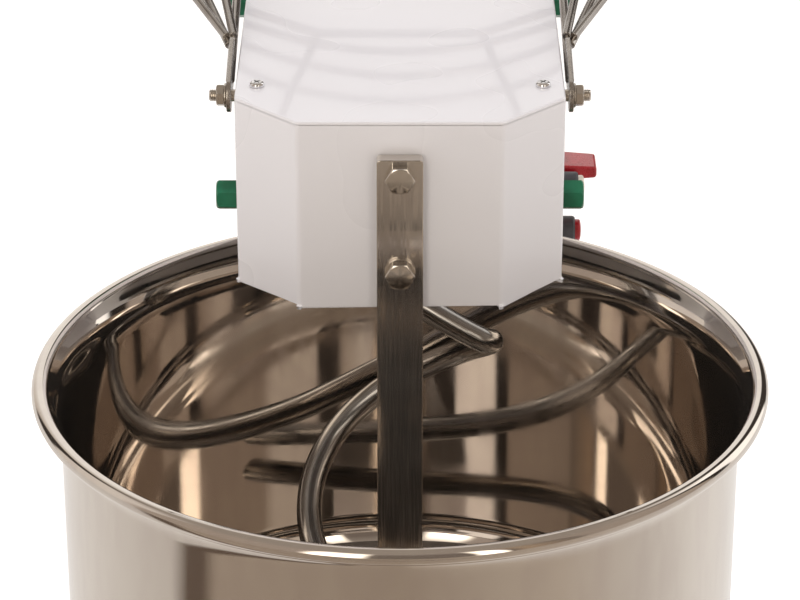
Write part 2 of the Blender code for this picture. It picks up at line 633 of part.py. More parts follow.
def make_breaker_bar():
    """The flat bar down the bowl's axis, bolted to the head's front, with rounded corners at both ends."""
    front = FRONT_Y - GAP - BAR_THICKNESS
    half = BAR_WIDTH / 2
    corner = 4 * MM
    top = arc((half - corner, BAR_TOP_Z - corner), corner, 0, 90, 3)
    top += arc((corner - half, BAR_TOP_Z - corner), corner, 90, 180, 3)
    bottom = arc((corner - half, BAR_BOTTOM_Z + corner), corner, 180, 270, 3)
    bottom += arc((half - corner, BAR_BOTTOM_Z + corner), corner, 270, 360, 3)
    bar = prism(top + bottom, 0, BAR_THICKNESS)
    bmesh.ops.rotate(bar, verts=bar.verts, matrix=Matrix.Rotation(math.pi / 2, 3, "X"))
    bar = add("breaker_bar", bar, stainless(), at=(0, front + BAR_THICKNESS, 0))
    for number, z in enumerate(BAR_BOLT_Z):
        hole = cylinder_along_y(BAR_BOLT_RADIUS + GAP, -0.02, 0.02)
        cut(bar, hole, f"bar_bolt_hole_{number}", (0, front, z))
    upper, lower = BAR_BOLT_Z
    add_hex_bolt("bar_bolt_upper", front - GAP, upper)
    washer = 2 * MM
    ring = tube(BAR_BOLT_RADIUS + GAP, 10 * MM, 0, washer)
    at = (0, front - GAP, lower)
    add("bar_washer_lower", ring, stainless(), at=at, turn=(math.pi / 2, 0, 0))
    add_hex_bolt("bar_bolt_lower", front - 2 * GAP - washer, lower)


def add_hex_bolt(name, seat_y, z):
    """A hex-head bolt that enters towards +Y from its seat."""
    across = 17 * MM
    head = 6.4 * MM
    bolt = rod(across / math.sqrt(3), 0, head, 6)
    shank = rod(BAR_BOLT_RADIUS, -(FRONT_Y + 24 * MM - seat_y), 1 * MM, 16)
    bolt = add(name, bolt, stainless(), at=(0, seat_y, z), turn=(math.pi / 2, 0, 0))
    join(bolt, shank, f"{name}_shank", (0, seat_y, z), (math.pi / 2, 0, 0))


def guard_point(x, forward, up):
    """A point of the closed guard in mm, as sideways, forward of the pivot and above it."""
    return Vector((x * MM, -forward * MM, up * MM))


def cut_corners(points, rounds):
    """Smooths a polyline by cutting each corner a quarter of the way, and keeps both ends."""
    for _ in range(rounds):
        cut_points = [points[0]]
        for a, b in zip(points, points[1:]):
            cut_points += [a.lerp(b, 0.25), a.lerp(b, 0.75)]
        points = [*cut_points, points[-1]]
    return points


def mirrored(half):
    """A whole wire from its right half, which ends in the middle plane."""
    return half + [Vector((-point.x, point.y, point.z)) for point in reversed(half[:-1])]


def guard_ring():
    """The outer half ring, which lies just over the bowl's rim when the guard is closed."""
    centre = (PIVOT_Y - BOWL_Y) / MM
    points = arc((0, centre), GUARD_RING_RADIUS / MM, 0, 180, 36)
    return [guard_point(x, forward, -GUARD_RING_DROP / MM) for x, forward in points]


def guard_rods():
    """The centreline of every wire of the closed guard but the inner frame."""
    rods = {"ring": guard_ring()}
    for name, half in GUARD_BOWS.items():
        rods[name] = cut_corners(mirrored([guard_point(*point) for point in half]), 2)
    for name, side in (("left", -1), ("right", 1)):
        for kind, wire in (("strut", GUARD_STRUT), ("radial", GUARD_RADIAL)):
            rods[f"{kind}_{name}"] = [guard_point(side * x, forward, up) for x, forward, up in wire]
    return rods


def make_guard(axis):
    """The wire guard in its raised pose: one welded cage and two pivot plates."""
    frame = mirrored([guard_point(*point) for point in GUARD_FRAME])
    cage = add("guard_cage", sweep(frame, WIRE_RADIUS), stainless(), axis)
    for name, rod_path in guard_rods().items():
        join(cage, sweep(rod_path, WIRE_RADIUS), f"guard_{name}")
    for name, side in (("left", -1), ("right", 1)):
        make_guard_plate(axis, name, side)


def make_guard_plate(axis, name, side):
    """A flat pivot plate with a bore for its stud, slotted where the inner frame's wire is welded on."""
    outline = arc((0, 0), 11 * MM, 90, 270, 8) + arc((PLATE_LENGTH, 0), 11 * MM, -90, 90, 8)
    plate = prism([(-x, y) for x, y in outline], -PLATE_THICKNESS / 2, PLATE_THICKNESS / 2)
    basis = Matrix(((0, 0, 1), (1, 0, 0), (0, 1, 0)))
    bmesh.ops.transform(plate, matrix=basis.to_4x4(), verts=plate.verts)
    at = (side * GUARD_ARM_X, 0, 0)
    plate = add(f"guard_plate_{name}", plate, stainless(), axis, at)
    cut(plate, cylinder_along_x(STUD_RADIUS + GAP, -0.02, 0.02), f"plate_bore_{name}", at)
    slot = box((-0.02, -80 * MM, -WIRE_RADIUS - GAP), (0.02, -17.5 * MM, WIRE_RADIUS + GAP))
    cut(plate, slot, f"plate_slot_{name}", at)


def make_guard_pivots():
    """Each pivot: an inner head, a stud through the skin and plate, and a hex nut on the outside."""
    for name, side in (("left", -1), ("right", 1)):
        outer_face = GUARD_ARM_X + PLATE_THICKNESS / 2 + GAP
        inner_face = BODY_HALF_WIDTH - SHEET - GAP
        profile = [(0, 98 * MM), (6.5 * MM, 98 * MM), (6.5 * MM, inner_face), (STUD_RADIUS, inner_face)]
        profile += [(STUD_RADIUS, outer_face + 11 * MM), (0, outer_face + 11 * MM)]
        turn = (0, side * math.pi / 2, 0)
        at = (0, PIVOT_Y, PIVOT_Z)
        stud = add(f"guard_pivot_{name}", lathe(profile, 20), stainless(), at=at, turn=turn)
        nut = rod(13 / math.sqrt(3) * MM, outer_face, outer_face + 6.5 * MM, 6)
        join(stud, nut, f"pivot_nut_{name}", at, turn)


def make_bolt_caps():
    """Hexagonal plastic caps over the bolts that hold the head's frame to its skin."""
    for place, (y, z) in CAP_PLACES.items():
        for name, side in (("left", -1), ("right", 1)):
            radius = CAP_ACROSS / math.sqrt(3)
            foot = BODY_HALF_WIDTH + GAP
            profile = [(0, foot), (radius, foot), (radius, foot + CAP_HEIGHT - 2 * MM)]
            profile += [(radius - 2 * MM, foot + CAP_HEIGHT), (0, foot + CAP_HEIGHT)]
            turn = (0, side * math.pi / 2, 0)
            add(f"bolt_cap_{place}_{name}", lathe(profile, 6), green_plastic(), at=(0, y, z), turn=turn)


def make_controls(switch_axis):
    """The main switch's plate and handle, and the start and stop buttons in their bezels."""
    wall = BODY_HALF_WIDTH + GAP
    yellow = finish("yellow_plastic", (0.85, 0.62, 0.03), 0.4)
    half = 16 * MM
    low = (wall, SWITCH_Y - half, SWITCH_Z - half)
    plate = add("switch_plate", box(low, (wall + 4 * MM, SWITCH_Y + half, SWITCH_Z + half)), yellow)
    cut(plate, cylinder_along_x(7 * MM + GAP, -0.02, 0.02), "switch_plate_hole", (wall, SWITCH_Y, SWITCH_Z))
    seat = 4 * MM + 2 * GAP
    stub, boss, boss_top = 6.6 * MM, 12 * MM, seat + 9 * MM
    profile = [(0, -10 * MM), (stub, -10 * MM), (stub, seat), (boss, seat), (boss, boss_top), (0, boss_top)]
    neck = lathe(profile, 24)
    handle = add("switch_handle", neck, red_plastic(), switch_axis)
    join(handle, box((-6 * MM, -15 * MM, seat + 6 * MM), (6 * MM, 15 * MM, seat + 33 * MM)), "handle_grip")
    button_colours = {
        "start_button": finish("white_plastic", (0.8, 0.78, 0.72), 0.4),
        "stop_button": red_plastic(),
    }
    for name, z in BUTTON_Z.items():
        at = (BODY_HALF_WIDTH, BUTTON_Y[name], z)
        turn = (0, math.pi / 2, 0)
        bezel = tube(8.4 * MM, 10.5 * MM, GAP, 23 * MM, 24)
        add(f"{name}_bezel", bezel, dark_plastic(), at=at, turn=turn)
        profile = [(0, -8 * MM), (5.5 * MM, -8 * MM), (5.5 * MM, 3 * MM), (8 * MM, 3 * MM), (8 * MM, 27 * MM)]
        profile += [(0, 28 * MM)]
        add(name, lathe(profile, 24), button_colours[name], at=at, turn=turn)


def make_cable_gland():
    """The cable inlet, low on the column's left side."""
    radius = GLAND_RADIUS
    profile = [(0, -10 * MM), (radius, -10 * MM), (radius, GAP), (12 * MM, GAP), (12 * MM, 9 * MM)]
    profile += [(9 * MM, 16 * MM), (0, 16 * MM)]
    add("cable_gland", lathe(profile, 24), dark_plastic(), at=GLAND_PLACE, turn=(0, -math.pi / 2, 0))


def main():
    clear_scene()
    make_body_shell()
    make_lid()
    make_lid_screws()
    make_head_underplate()
    make_rear_panel()
    make_base_housing()
    make_base_bottom_plate()
    make_feet()
    make_base_beam()
    make_column_uprights()
    make_head_beam()
    make_bearings()
    make_gearbox()
    make_motor()
    make_electrical_box()
    make_breaker_bar()
    make_guard_pivots()
    make_bolt_caps()
    make_cable_gland()
    bowl_axis = axis_empty("bowl_axis", (0, BOWL_Y, 0))
    make_bowl(bowl_axis)
    make_bowl_hub(bowl_axis)
    sprocket("bowl_sprocket", BOWL_TEETH, LOWER_CHAIN_Z, BOWL_SHAFT_RADIUS, bowl_axis)
    make_spiral(axis_empty("spiral_axis", (0, SPIRAL_Y, 0)))
    make_drive(axis_empty("drive_axis", (0, DRIVE_Y, 0)))
    chain("upper_chain", SPIRAL_Y, UPPER_TEETH, DRIVE_Y, UPPER_TEETH, UPPER_CHAIN_Z)
    chain("lower_chain", BOWL_Y, BOWL_TEETH, DRIVE_Y, LOWER_TEETH, LOWER_CHAIN_Z)
    make_guard(axis_empty("guard_axis", (0, PIVOT_Y, PIVOT_Z), (-GUARD_OPEN_ANGLE, 0, 0)))
    make_controls(axis_empty("switch_axis", (BODY_HALF_WIDTH, SWITCH_Y, SWITCH_Z), (0, math.pi / 2, 0)))


main()
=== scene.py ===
"""Finished model of a commercial spiral dough mixer.

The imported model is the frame. Its hidden drive parts keep their own solids and get a finish here. What can be
seen is modelled again in detail, in the same places. Metres, +Z up, +Y from the bowl towards the column.
"""

from __future__ import annotations

import json
import logging
import math
from collections.abc import Iterable, Sequence
from dataclasses import dataclass
from enum import Enum

import bmesh
import bpy
from mathutils import Matrix, Vector

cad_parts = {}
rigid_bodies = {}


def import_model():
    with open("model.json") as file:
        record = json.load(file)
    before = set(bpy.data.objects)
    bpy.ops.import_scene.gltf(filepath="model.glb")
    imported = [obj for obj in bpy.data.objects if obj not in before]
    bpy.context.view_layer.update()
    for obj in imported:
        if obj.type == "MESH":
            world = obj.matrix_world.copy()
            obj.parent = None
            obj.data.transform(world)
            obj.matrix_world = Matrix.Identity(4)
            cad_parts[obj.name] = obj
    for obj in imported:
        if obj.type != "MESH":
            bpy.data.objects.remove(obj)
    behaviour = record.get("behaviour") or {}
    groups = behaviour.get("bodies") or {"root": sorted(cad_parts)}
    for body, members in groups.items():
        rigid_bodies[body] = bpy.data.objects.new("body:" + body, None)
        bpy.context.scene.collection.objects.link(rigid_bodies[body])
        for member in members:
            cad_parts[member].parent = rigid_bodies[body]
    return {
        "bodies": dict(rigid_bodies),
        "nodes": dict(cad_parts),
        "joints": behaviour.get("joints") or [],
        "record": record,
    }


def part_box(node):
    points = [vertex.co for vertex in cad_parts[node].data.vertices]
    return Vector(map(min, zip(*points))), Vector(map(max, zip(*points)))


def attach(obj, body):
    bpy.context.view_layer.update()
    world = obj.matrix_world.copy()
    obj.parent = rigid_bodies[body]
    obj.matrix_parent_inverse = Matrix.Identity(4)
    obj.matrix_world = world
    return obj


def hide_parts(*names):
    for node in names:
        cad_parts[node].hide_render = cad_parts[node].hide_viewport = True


LOG = logging.getLogger("spiral_mixer")
MM = 0.001
SAME = 1e-5  # metres: places nearer than this count as one
SHARP = math.radians(32)  # a piece's edges that are sharper than this stay sharp in its shading
SIDES = (("left", -1.0), ("right", 1.0))
CORNERS = ("front_left", "front_right", "rear_left", "rear_right")
X_FROM_Z = Matrix(((0, 0, 1, 0), (1, 0, 0, 0), (0, 1, 0, 0), (0, 0, 0, 1)))  # lays X, Y and Z on Y, Z and X

Socket = bpy.types.NodeSocket
Tree = bpy.types.NodeTree
Place = tuple[float, float, float]
Route = tuple[Place, ...]
Bands = tuple[tuple[float, str, float], ...]
Mesh = bmesh.types.BMesh


# ---------------------------------------------------------------- material helpers


def hex_colour(code: str) -> tuple[float, float, float, float]:
    """Turns an sRGB hex colour into linear RGBA.

    Args:
        code: Six hex digits after a hash sign.

    Returns:
        Linear red, green and blue, and an alpha of 1.
    """
    parts = [int(code[i : i + 2], 16) / 255 for i in (1, 3, 5)]
    linear = [part / 12.92 if part <= 0.04045 else ((part + 0.055) / 1.055) ** 2.4 for part in parts]
    return (linear[0], linear[1], linear[2], 1.0)


def add_node(tree: Tree, kind: str, inputs: dict | None = None, **settings: object) -> bpy.types.Node:
    """Adds a shader node with its settings and its links.

    Args:
        tree: Node tree that gets the node.
        kind: Blender's type name without its ShaderNode prefix.
        inputs: Input name or number to a constant, or to the output that feeds it.
        settings: Properties of the node.

    Returns:
        The new node.
    """
    node = tree.nodes.new(f"ShaderNode{kind}")
    for name, value in settings.items():
        setattr(node, name, value)
    for key, value in (inputs or {}).items():
        if isinstance(value, Socket):
            tree.links.new(value, node.inputs[key])
        else:
            node.inputs[key].default_value = value
    return node


def per_metre(size_mm: float) -> float:
    """Texture scale whose features are this many millimetres wide."""
    return 1000.0 / size_mm


class Grain(Enum):
    """Direction of the polishing lines, as how much a pattern is squeezed along X, Y and Z."""

    ALONG_X = (0.02, 1.0, 1.0)
    ALONG_Y = (1.0, 0.02, 1.0)
    ALONG_Z = (1.0, 1.0, 0.02)
    NONE = (1.0, 1.0, 1.0)


class Coordinates(Enum):
    """What a pattern is laid out on."""

    OBJECT = "Object"
    UV = "UV"


@dataclass(frozen=True)
class Finish:
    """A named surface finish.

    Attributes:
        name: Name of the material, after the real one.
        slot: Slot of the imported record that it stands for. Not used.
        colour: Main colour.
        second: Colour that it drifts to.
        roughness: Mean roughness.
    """

    name: str
    slot: str
    colour: str
    second: str
    roughness: float

    def material(self) -> bpy.types.Material:
        """Makes the material once and returns it afterwards."""
        found = bpy.data.materials.get(self.name)
        if found is not None:
            return found
        material = bpy.data.materials.new(self.name)
        material.use_nodes = True
        material.diffuse_color = hex_colour(self.colour)
        tree = material.node_tree
        self.dress(tree, tree.nodes["Principled BSDF"])
        return material

    def dress(self, tree: Tree, shader: bpy.types.Node) -> None:
        """Adds the finish's nodes to the shader."""
        raise NotImplementedError

    def pattern(
        self,
        tree: Tree,
        size_mm: float,
        grain: Grain = Grain.NONE,
        detail: float = 2.0,
        coordinates: Coordinates = Coordinates.OBJECT,
    ) -> Socket:
        """Adds a noise pattern with features of a real size.

        Args:
            tree: Node tree that gets the pattern.
            size_mm: Width of one feature.
            grain: Direction that the features run in.
            detail: Octaves of finer detail.
            coordinates: What the pattern is laid out on.

        Returns:
            The pattern's strength, from 0 to 1.
        """
        place = add_node(tree, "TexCoord")
        turned = add_node(tree, "Mapping", {"Vector": place.outputs[coordinates.value], "Scale": grain.value})
        scale = {"Vector": turned.outputs["Vector"], "Scale": per_metre(size_mm), "Detail": detail}
        return add_node(tree, "TexNoise", scale).outputs["Fac"]

    def spread(self, tree: Tree, value: Socket, low: float, high: float) -> Socket:
        """Spreads a pattern's middle half over a range.

        Args:
            tree: Node tree that gets the node.
            value: Pattern from 0 to 1.
            low: Result for a weak pattern.
            high: Result for a strong one.

        Returns:
            The spread value.
        """
        inputs = {"Value": value, "From Min": 0.3, "From Max": 0.7, "To Min": low, "To Max": high}
        return add_node(tree, "MapRange", inputs, interpolation_type="SMOOTHERSTEP").outputs["Result"]

    def blend(self, tree: Tree, share: Socket, first: str, second: str) -> Socket:
        """Mixes two hex colours by a share and returns the colour."""
        inputs = {0: share, 6: hex_colour(first), 7: hex_colour(second)}
        return add_node(tree, "Mix", inputs, data_type="RGBA").outputs[2]

    def relief(self, tree: Tree, height: Socket, depth_mm: float, after: Socket | None = None) -> Socket:
        """Turns a height pattern into a bump.

        Args:
            tree: Node tree that gets the node.
            height: Height pattern from 0 to 1.
            depth_mm: Depth from the pattern's lowest to its highest point.
            after: Normal of an earlier bump, if there is one.

        Returns:
            The bumped normal.
        """
        inputs = {"Height": height, "Distance": depth_mm * MM, "Strength": 1.0}
        if after is not None:
            inputs["Normal"] = after
        return add_node(tree, "Bump", inputs).outputs["Normal"]


@dataclass(frozen=True)
class SprayedEnamel(Finish):
    """White gloss enamel sprayed and baked on folded steel sheet.

    The spray gives a faint orange peel a few millimetres across, and the clear top skin soft reflections.

    Attributes:
        cloud_mm: Width of the patches where the coat is thicker or thinner.
        handled_mm: Width of the patches that hands have dulled.
        dulling: How far their roughness is from the mean.
        peel_mm: Width of one dimple of the orange peel.
        peel_depth_mm: Depth of the orange peel.
    """

    cloud_mm: float = 160.0
    handled_mm: float = 60.0
    dulling: float = 0.008
    peel_mm: float = 4.0
    peel_depth_mm: float = 0.006

    def dress(self, tree: Tree, shader: bpy.types.Node) -> None:
        """Mottles the white slightly and adds the orange peel under a clear coat."""
        cloud = self.spread(tree, self.pattern(tree, self.cloud_mm, detail=0.5), 0.0, 1.0)
        peel = self.pattern(tree, self.peel_mm, detail=1.0)
        tree.links.new(self.blend(tree, cloud, self.colour, self.second), shader.inputs["Base Color"])
        handled = self.pattern(tree, self.handled_mm, detail=0.5)
        rough = self.spread(tree, handled, self.roughness - self.dulling, self.roughness + self.dulling)
        tree.links.new(rough, shader.inputs["Roughness"])
        tree.links.new(self.relief(tree, peel, self.peel_depth_mm), shader.inputs["Normal"])
        tree.links.new(self.relief(tree, peel, self.peel_depth_mm * 0.6), shader.inputs["Coat Normal"])
        shader.inputs["Coat Weight"].default_value = 0.7
        shader.inputs["Coat Roughness"].default_value = 0.06


@dataclass(frozen=True)
class SpunStainless(Finish):
    """Stainless steel sheet, spun to a bowl and polished to a near mirror.

    Spinning leaves faint rings round the bowl's axis, and wiping leaves soft upright smears.

    Attributes:
        axis: X and Y of the bowl's axis in metres.
        ring_mm: Width of one ring, coarser than the real ones so that they show.
        ring_depth_mm: Depth of the rings.
        smears: Smears per radian round the bowl.
        smear_rise: How much a smear changes over a metre upwards, against a radian round the bowl.
    """

    axis: tuple[float, float] = (0.0, 0.0)
    ring_mm: float = 2.5
    ring_depth_mm: float = 0.0006
    smears: float = 14.0
    smear_rise: float = 1.2

    def dress(self, tree: Tree, shader: bpy.types.Node) -> None:
        """Adds the rings, which depend only on radius and height, and the upright smears."""
        place = add_node(tree, "TexCoord").outputs["Object"]
        shift = (-self.axis[0], -self.axis[1], 0.0)
        centred = add_node(tree, "Mapping", {"Vector": place, "Location": shift}).outputs["Vector"]
        flat = add_node(tree, "VectorMath", {0: centred, 1: (1.0, 1.0, 0.0)}, operation="MULTIPLY").outputs[0]
        radius = add_node(tree, "VectorMath", {0: flat}, operation="LENGTH").outputs["Value"]
        split = add_node(tree, "SeparateXYZ", {0: centred})
        ring = add_node(tree, "CombineXYZ", {"X": radius, "Y": split.outputs["Z"]}).outputs[0]
        rings = {"Vector": ring, "Scale": per_metre(self.ring_mm), "Detail": 3.0}
        ring_height = add_node(tree, "TexNoise", rings).outputs["Fac"]
        outward = add_node(tree, "VectorMath", {0: flat}, operation="NORMALIZE").outputs[0]
        upwards = {0: centred, 1: (0.0, 0.0, self.smear_rise)}
        rise = add_node(tree, "VectorMath", upwards, operation="MULTIPLY").outputs[0]
        round_and_up = add_node(tree, "VectorMath", {0: outward, 1: rise}, operation="ADD").outputs[0]
        smears = {"Vector": round_and_up, "Scale": self.smears, "Detail": 4.0}
        smear = add_node(tree, "TexNoise", smears).outputs["Fac"]
        share = self.spread(tree, smear, 0.0, 1.0)
        tree.links.new(self.blend(tree, share, self.colour, self.second), shader.inputs["Base Color"])
        rough = self.spread(tree, smear, self.roughness - 0.02, self.roughness + 0.03)
        tree.links.new(rough, shader.inputs["Roughness"])
        tree.links.new(self.relief(tree, ring_height, self.ring_depth_mm), shader.inputs["Normal"])
        shader.inputs["Metallic"].default_value = 0.98


@dataclass(frozen=True)
class PolishedSteel(Finish):
    """Steel with the lines of its last polish.

    Each pass of the belt leaves hair lines, which are drawn coarser than the real ones so that they show.

    Attributes:
        grain: Direction of the lines.
        line_mm: Width of one line.
        depth_mm: Depth of the lines.
        coordinates: What the lines are laid out on.
        metallic: A little under 1 where a dry film of flour dulls the steel.
    """

    grain: Grain = Grain.NONE
    line_mm: float = 0.8
    depth_mm: float = 0.0015
    coordinates: Coordinates = Coordinates.OBJECT
    metallic: float = 1.0

    def dress(self, tree: Tree, shader: bpy.types.Node) -> None:
        """Adds the polishing lines, and a slow change of tone where the steel was handled."""
        lines = self.pattern(tree, self.line_mm, self.grain, 3.0, self.coordinates)
        cloud = self.spread(tree, self.pattern(tree, 30.0, detail=3.0), 0.0, 1.0)
        tree.links.new(self.blend(tree, cloud, self.colour, self.second), shader.inputs["Base Color"])
        rough = self.spread(tree, lines, self.roughness - 0.05, self.roughness + 0.07)
        tree.links.new(rough, shader.inputs["Roughness"])
        tree.links.new(self.relief(tree, lines, self.depth_mm), shader.inputs["Normal"])
        shader.inputs["Metallic"].default_value = self.metallic


@dataclass(frozen=True)
class PlatedSteel(Finish):
    """Machined steel with zinc plating, a fine cloudy grain with a faint blue and yellow cast."""

    grain_mm: float = 3.0

    def dress(self, tree: Tree, shader: bpy.types.Node) -> None:
        """Adds the plating's cloudy grain and the tool marks under it."""
        grain = self.pattern(tree, self.grain_mm, detail=4.0)
        marks = self.pattern(tree, 0.6, Grain.ALONG_X, 2.0)
        share = self.spread(tree, grain, 0.0, 1.0)
        tree.links.new(self.blend(tree, share, self.colour, self.second), shader.inputs["Base Color"])
        rough = self.spread(tree, grain, self.roughness - 0.08, self.roughness + 0.1)
        tree.links.new(rough, shader.inputs["Roughness"])
        tree.links.new(self.relief(tree, marks, 0.004), shader.inputs["Normal"])
        shader.inputs["Metallic"].default_value = 1.0


@dataclass(frozen=True)
class CoatedCasting(Finish):
    """Grey iron or plain plate under brushed machine paint, pitted by the sand mould or scale beneath."""

    pit_mm: float = 2.0
    depth_mm: float = 0.15
    metallic: float = 0.0

    def dress(self, tree: Tree, shader: bpy.types.Node) -> None:
        """Adds pits, dusty patches and a rough paint skin."""
        pits = self.pattern(tree, self.pit_mm, detail=5.0)
        patches = self.spread(tree, self.pattern(tree, 40.0, detail=4.0), 0.0, 1.0)
        tree.links.new(self.blend(tree, patches, self.colour, self.second), shader.inputs["Base Color"])
        rough = self.spread(tree, patches, self.roughness - 0.08, self.roughness + 0.12)
        tree.links.new(rough, shader.inputs["Roughness"])
        tree.links.new(self.relief(tree, pits, self.depth_mm), shader.inputs["Normal"])
        shader.inputs["Metallic"].default_value = self.metallic


@dataclass(frozen=True)
class MouldedPlastic(Finish):
    """Injection-moulded plastic or rubber, with the fine spark-eroded texture of its mould."""

    texture_mm: float = 0.7
    depth_mm: float = 0.012
    coat: float = 0.0

    def dress(self, tree: Tree, shader: bpy.types.Node) -> None:
        """Adds the mould's texture and a slight fading of the colour."""
        fade = self.spread(tree, self.pattern(tree, 14.0, detail=3.0), 0.0, 1.0)
        fine = self.pattern(tree, self.texture_mm, detail=2.0)
        tree.links.new(self.blend(tree, fade, self.colour, self.second), shader.inputs["Base Color"])
        rough = self.spread(tree, fine, self.roughness - 0.05, self.roughness + 0.05)
        tree.links.new(rough, shader.inputs["Roughness"])
        tree.links.new(self.relief(tree, fine, self.depth_mm), shader.inputs["Normal"])
        shader.inputs["Coat Weight"].default_value = self.coat
        shader.inputs["Coat Roughness"].default_value = 0.12


ENAMEL = SprayedEnamel("white_baked_enamel", "white_paint", "#e2e1e4", "#e0dfe2", 0.28)
STEEL_SLOT = "polished_stainless"
BAR_STEEL = PolishedSteel(
    "belt_polished_stainless_bar", STEEL_SLOT, "#d3cdc6", "#c6bfb8", 0.1,
    Grain.ALONG_Z, depth_mm=0.0005, metallic=0.93,
)
HOOK_STEEL = PolishedSteel(
    "satin_polished_stainless_hook", STEEL_SLOT, "#a9a6a4", "#94918e", 0.22,
    Grain.ALONG_X, line_mm=0.9, depth_mm=0.0012, coordinates=Coordinates.UV,
)
WIRE_STEEL = PolishedSteel(
    "bright_drawn_stainless_wire", STEEL_SLOT, "#b5b1ad", "#a09b97", 0.2,
    Grain.ALONG_X, line_mm=0.7, depth_mm=0.0012, coordinates=Coordinates.UV,
)
PLATE_STEEL = PolishedSteel("brushed_stainless_plate", STEEL_SLOT, "#bfbab5", "#aea8a2", 0.24, Grain.ALONG_Y)
BOLT_STEEL = PolishedSteel("cold_headed_stainless", STEEL_SLOT, "#dcd7d0", "#c9c2b9", 0.16)
BRIGHT_ZINC = PlatedSteel("bright_zinc_screw", "zinc_steel", "#f1f1f3", "#e6e7e9", 0.22)
ZINC = PlatedSteel("zinc_plated_steel", "zinc_steel", "#b9bcc0", "#a3a49f", 0.38)
OILED_STEEL = PlatedSteel("oiled_chain_steel", "zinc_steel", "#8c877e", "#5c564d", 0.34, 5.0)
FRAME_PAINT = CoatedCasting("black_primed_plate", "black_steel", "#1d1d1f", "#2b2a29", 0.5, 1.2, 0.04)
CASTING = CoatedCasting("grey_painted_cast_iron", "cast_grey", "#7b8186", "#6a6f73", 0.55, 2.2, 0.18)
GREEN = MouldedPlastic("green_polyethylene_cap", "green_plastic", "#17704f", "#0f5c3f", 0.36, coat=0.2)
RED = MouldedPlastic("red_abs_handle", "red_plastic", "#b01826", "#98101d", 0.3, coat=0.5)
CREAM = MouldedPlastic("cream_abs_button", "white_plastic", "#e9e2d2", "#ddd5c3", 0.32, coat=0.3)
YELLOW = MouldedPlastic("yellow_abs_plate", "yellow_plastic", "#f0c419", "#e2b20f", 0.4)
DARK = MouldedPlastic("dark_grey_polyamide", "dark_plastic", "#4a4a4e", "#3c3c40", 0.45)
BLACK = MouldedPlastic("black_polyamide", "dark_plastic", "#1b1b1d", "#262628", 0.5)
RUBBER = MouldedPlastic("moulded_black_rubber", "rubber", "#19191a", "#242322", 0.75, 1.2, 0.03)


# ---------------------------------------------------------------- mesh helpers


def moved(bm: Mesh, matrix: Matrix) -> Mesh:
    """Places a whole bmesh with a matrix and returns it."""
    bmesh.ops.transform(bm, matrix=matrix, verts=bm.verts)
    return bm


def merged(*parts: Mesh) -> Mesh:
    """Joins closed shapes into one bmesh.

    Args:
        parts: Shapes to join. All but the first are freed.

    Returns:
        The first, with all the shapes in it.
    """
    whole = parts[0]
    for part in parts[1:]:
        passing = bpy.data.meshes.new("passing")
        part.to_mesh(passing)
        part.free()
        whole.from_mesh(passing)
        bpy.data.meshes.remove(passing)
    return whole


def carved(body: Mesh, tool: Mesh, operation: str = "DIFFERENCE") -> Mesh:
    """Cuts, joins or intersects two closed shapes.

    Args:
        body: Shape to work on. It is freed.
        tool: Shape to work with. It is freed.
        operation: DIFFERENCE, UNION or INTERSECT.

    Returns:
        The result as a new bmesh.
    """
    objects = []
    for shape in (body, tool):
        bmesh.ops.recalc_face_normals(shape, faces=shape.faces)
        mesh = bpy.data.meshes.new("carving")
        shape.to_mesh(mesh)
        shape.free()
        obj = bpy.data.objects.new("carving", mesh)
        bpy.context.scene.collection.objects.link(obj)
        objects.append(obj)
    modifier = objects[0].modifiers.new("carve", "BOOLEAN")
    modifier.operation = operation
    modifier.solver = "EXACT"
    modifier.object = objects[1]
    graph = bpy.context.evaluated_depsgraph_get()
    result = bmesh.new()
    result.from_object(objects[0], graph)
    for obj in objects:
        mesh = obj.data
        bpy.data.objects.remove(obj)
        bpy.data.meshes.remove(mesh)
    return result


def softened(bm: Mesh, width_mm: float, segments: int = 3, angle: float = math.radians(40)) -> Mesh:
    """Rounds every edge that is sharper than an angle.

    Args:
        bm: Closed shape.
        width_mm: Width of the rounding on each side of the edge.
        segments: Steps across the rounding.
        angle: Least angle between two faces that counts as an edge.

    Returns:
        The same bmesh.
    """
    bmesh.ops.remove_doubles(bm, verts=bm.verts, dist=SAME / 10)
    bmesh.ops.recalc_face_normals(bm, faces=bm.faces)
    edges = [edge for edge in bm.edges if edge.calc_face_angle(0.0) > angle]
    rounded(bm, edges, width_mm, segments)
    return bm


def rounded(bm: Mesh, edges: Sequence[bmesh.types.BMEdge], width_mm: float, segments: int = 3) -> None:
    """Bevels the given edges to an arc."""
    bmesh.ops.bevel(
        bm,
        geom=list(edges),
        offset=width_mm * MM,
        offset_type="OFFSET",
        segments=segments,
        profile=0.5,
        affect="EDGES",
        clamp_overlap=True,
        material=-1,
    )


def turned(profile: Iterable[tuple[float, float]], segments: int = 64) -> Mesh:
    """Spins a profile about Z.

    Args:
        profile: Radius and height of each point, in millimetres.
        segments: Steps round the full turn.

    Returns:
        The closed shape.
    """
    bm = bmesh.new()
    verts = [bm.verts.new((radius * MM, 0.0, height * MM)) for radius, height in profile]
    edges = [bm.edges.new(pair) for pair in zip(verts, verts[1:])]
    if profile_is_ring(verts):
        edges.append(bm.edges.new((verts[-1], verts[0])))
    bmesh.ops.spin(
        bm,
        geom=verts + edges,
        cent=(0.0, 0.0, 0.0),
        axis=(0.0, 0.0, 1.0),
        angle=2 * math.pi,
        steps=segments,
        use_merge=True,
    )
    bmesh.ops.remove_doubles(bm, verts=bm.verts, dist=SAME / 10)
    bmesh.ops.recalc_face_normals(bm, faces=bm.faces)
    return bm


def profile_is_ring(verts: Sequence[bmesh.types.BMVert]) -> bool:
    """True if neither end of a profile is on the axis, so that it closes into a ring."""
    return verts[0].co.x > SAME and verts[-1].co.x > SAME


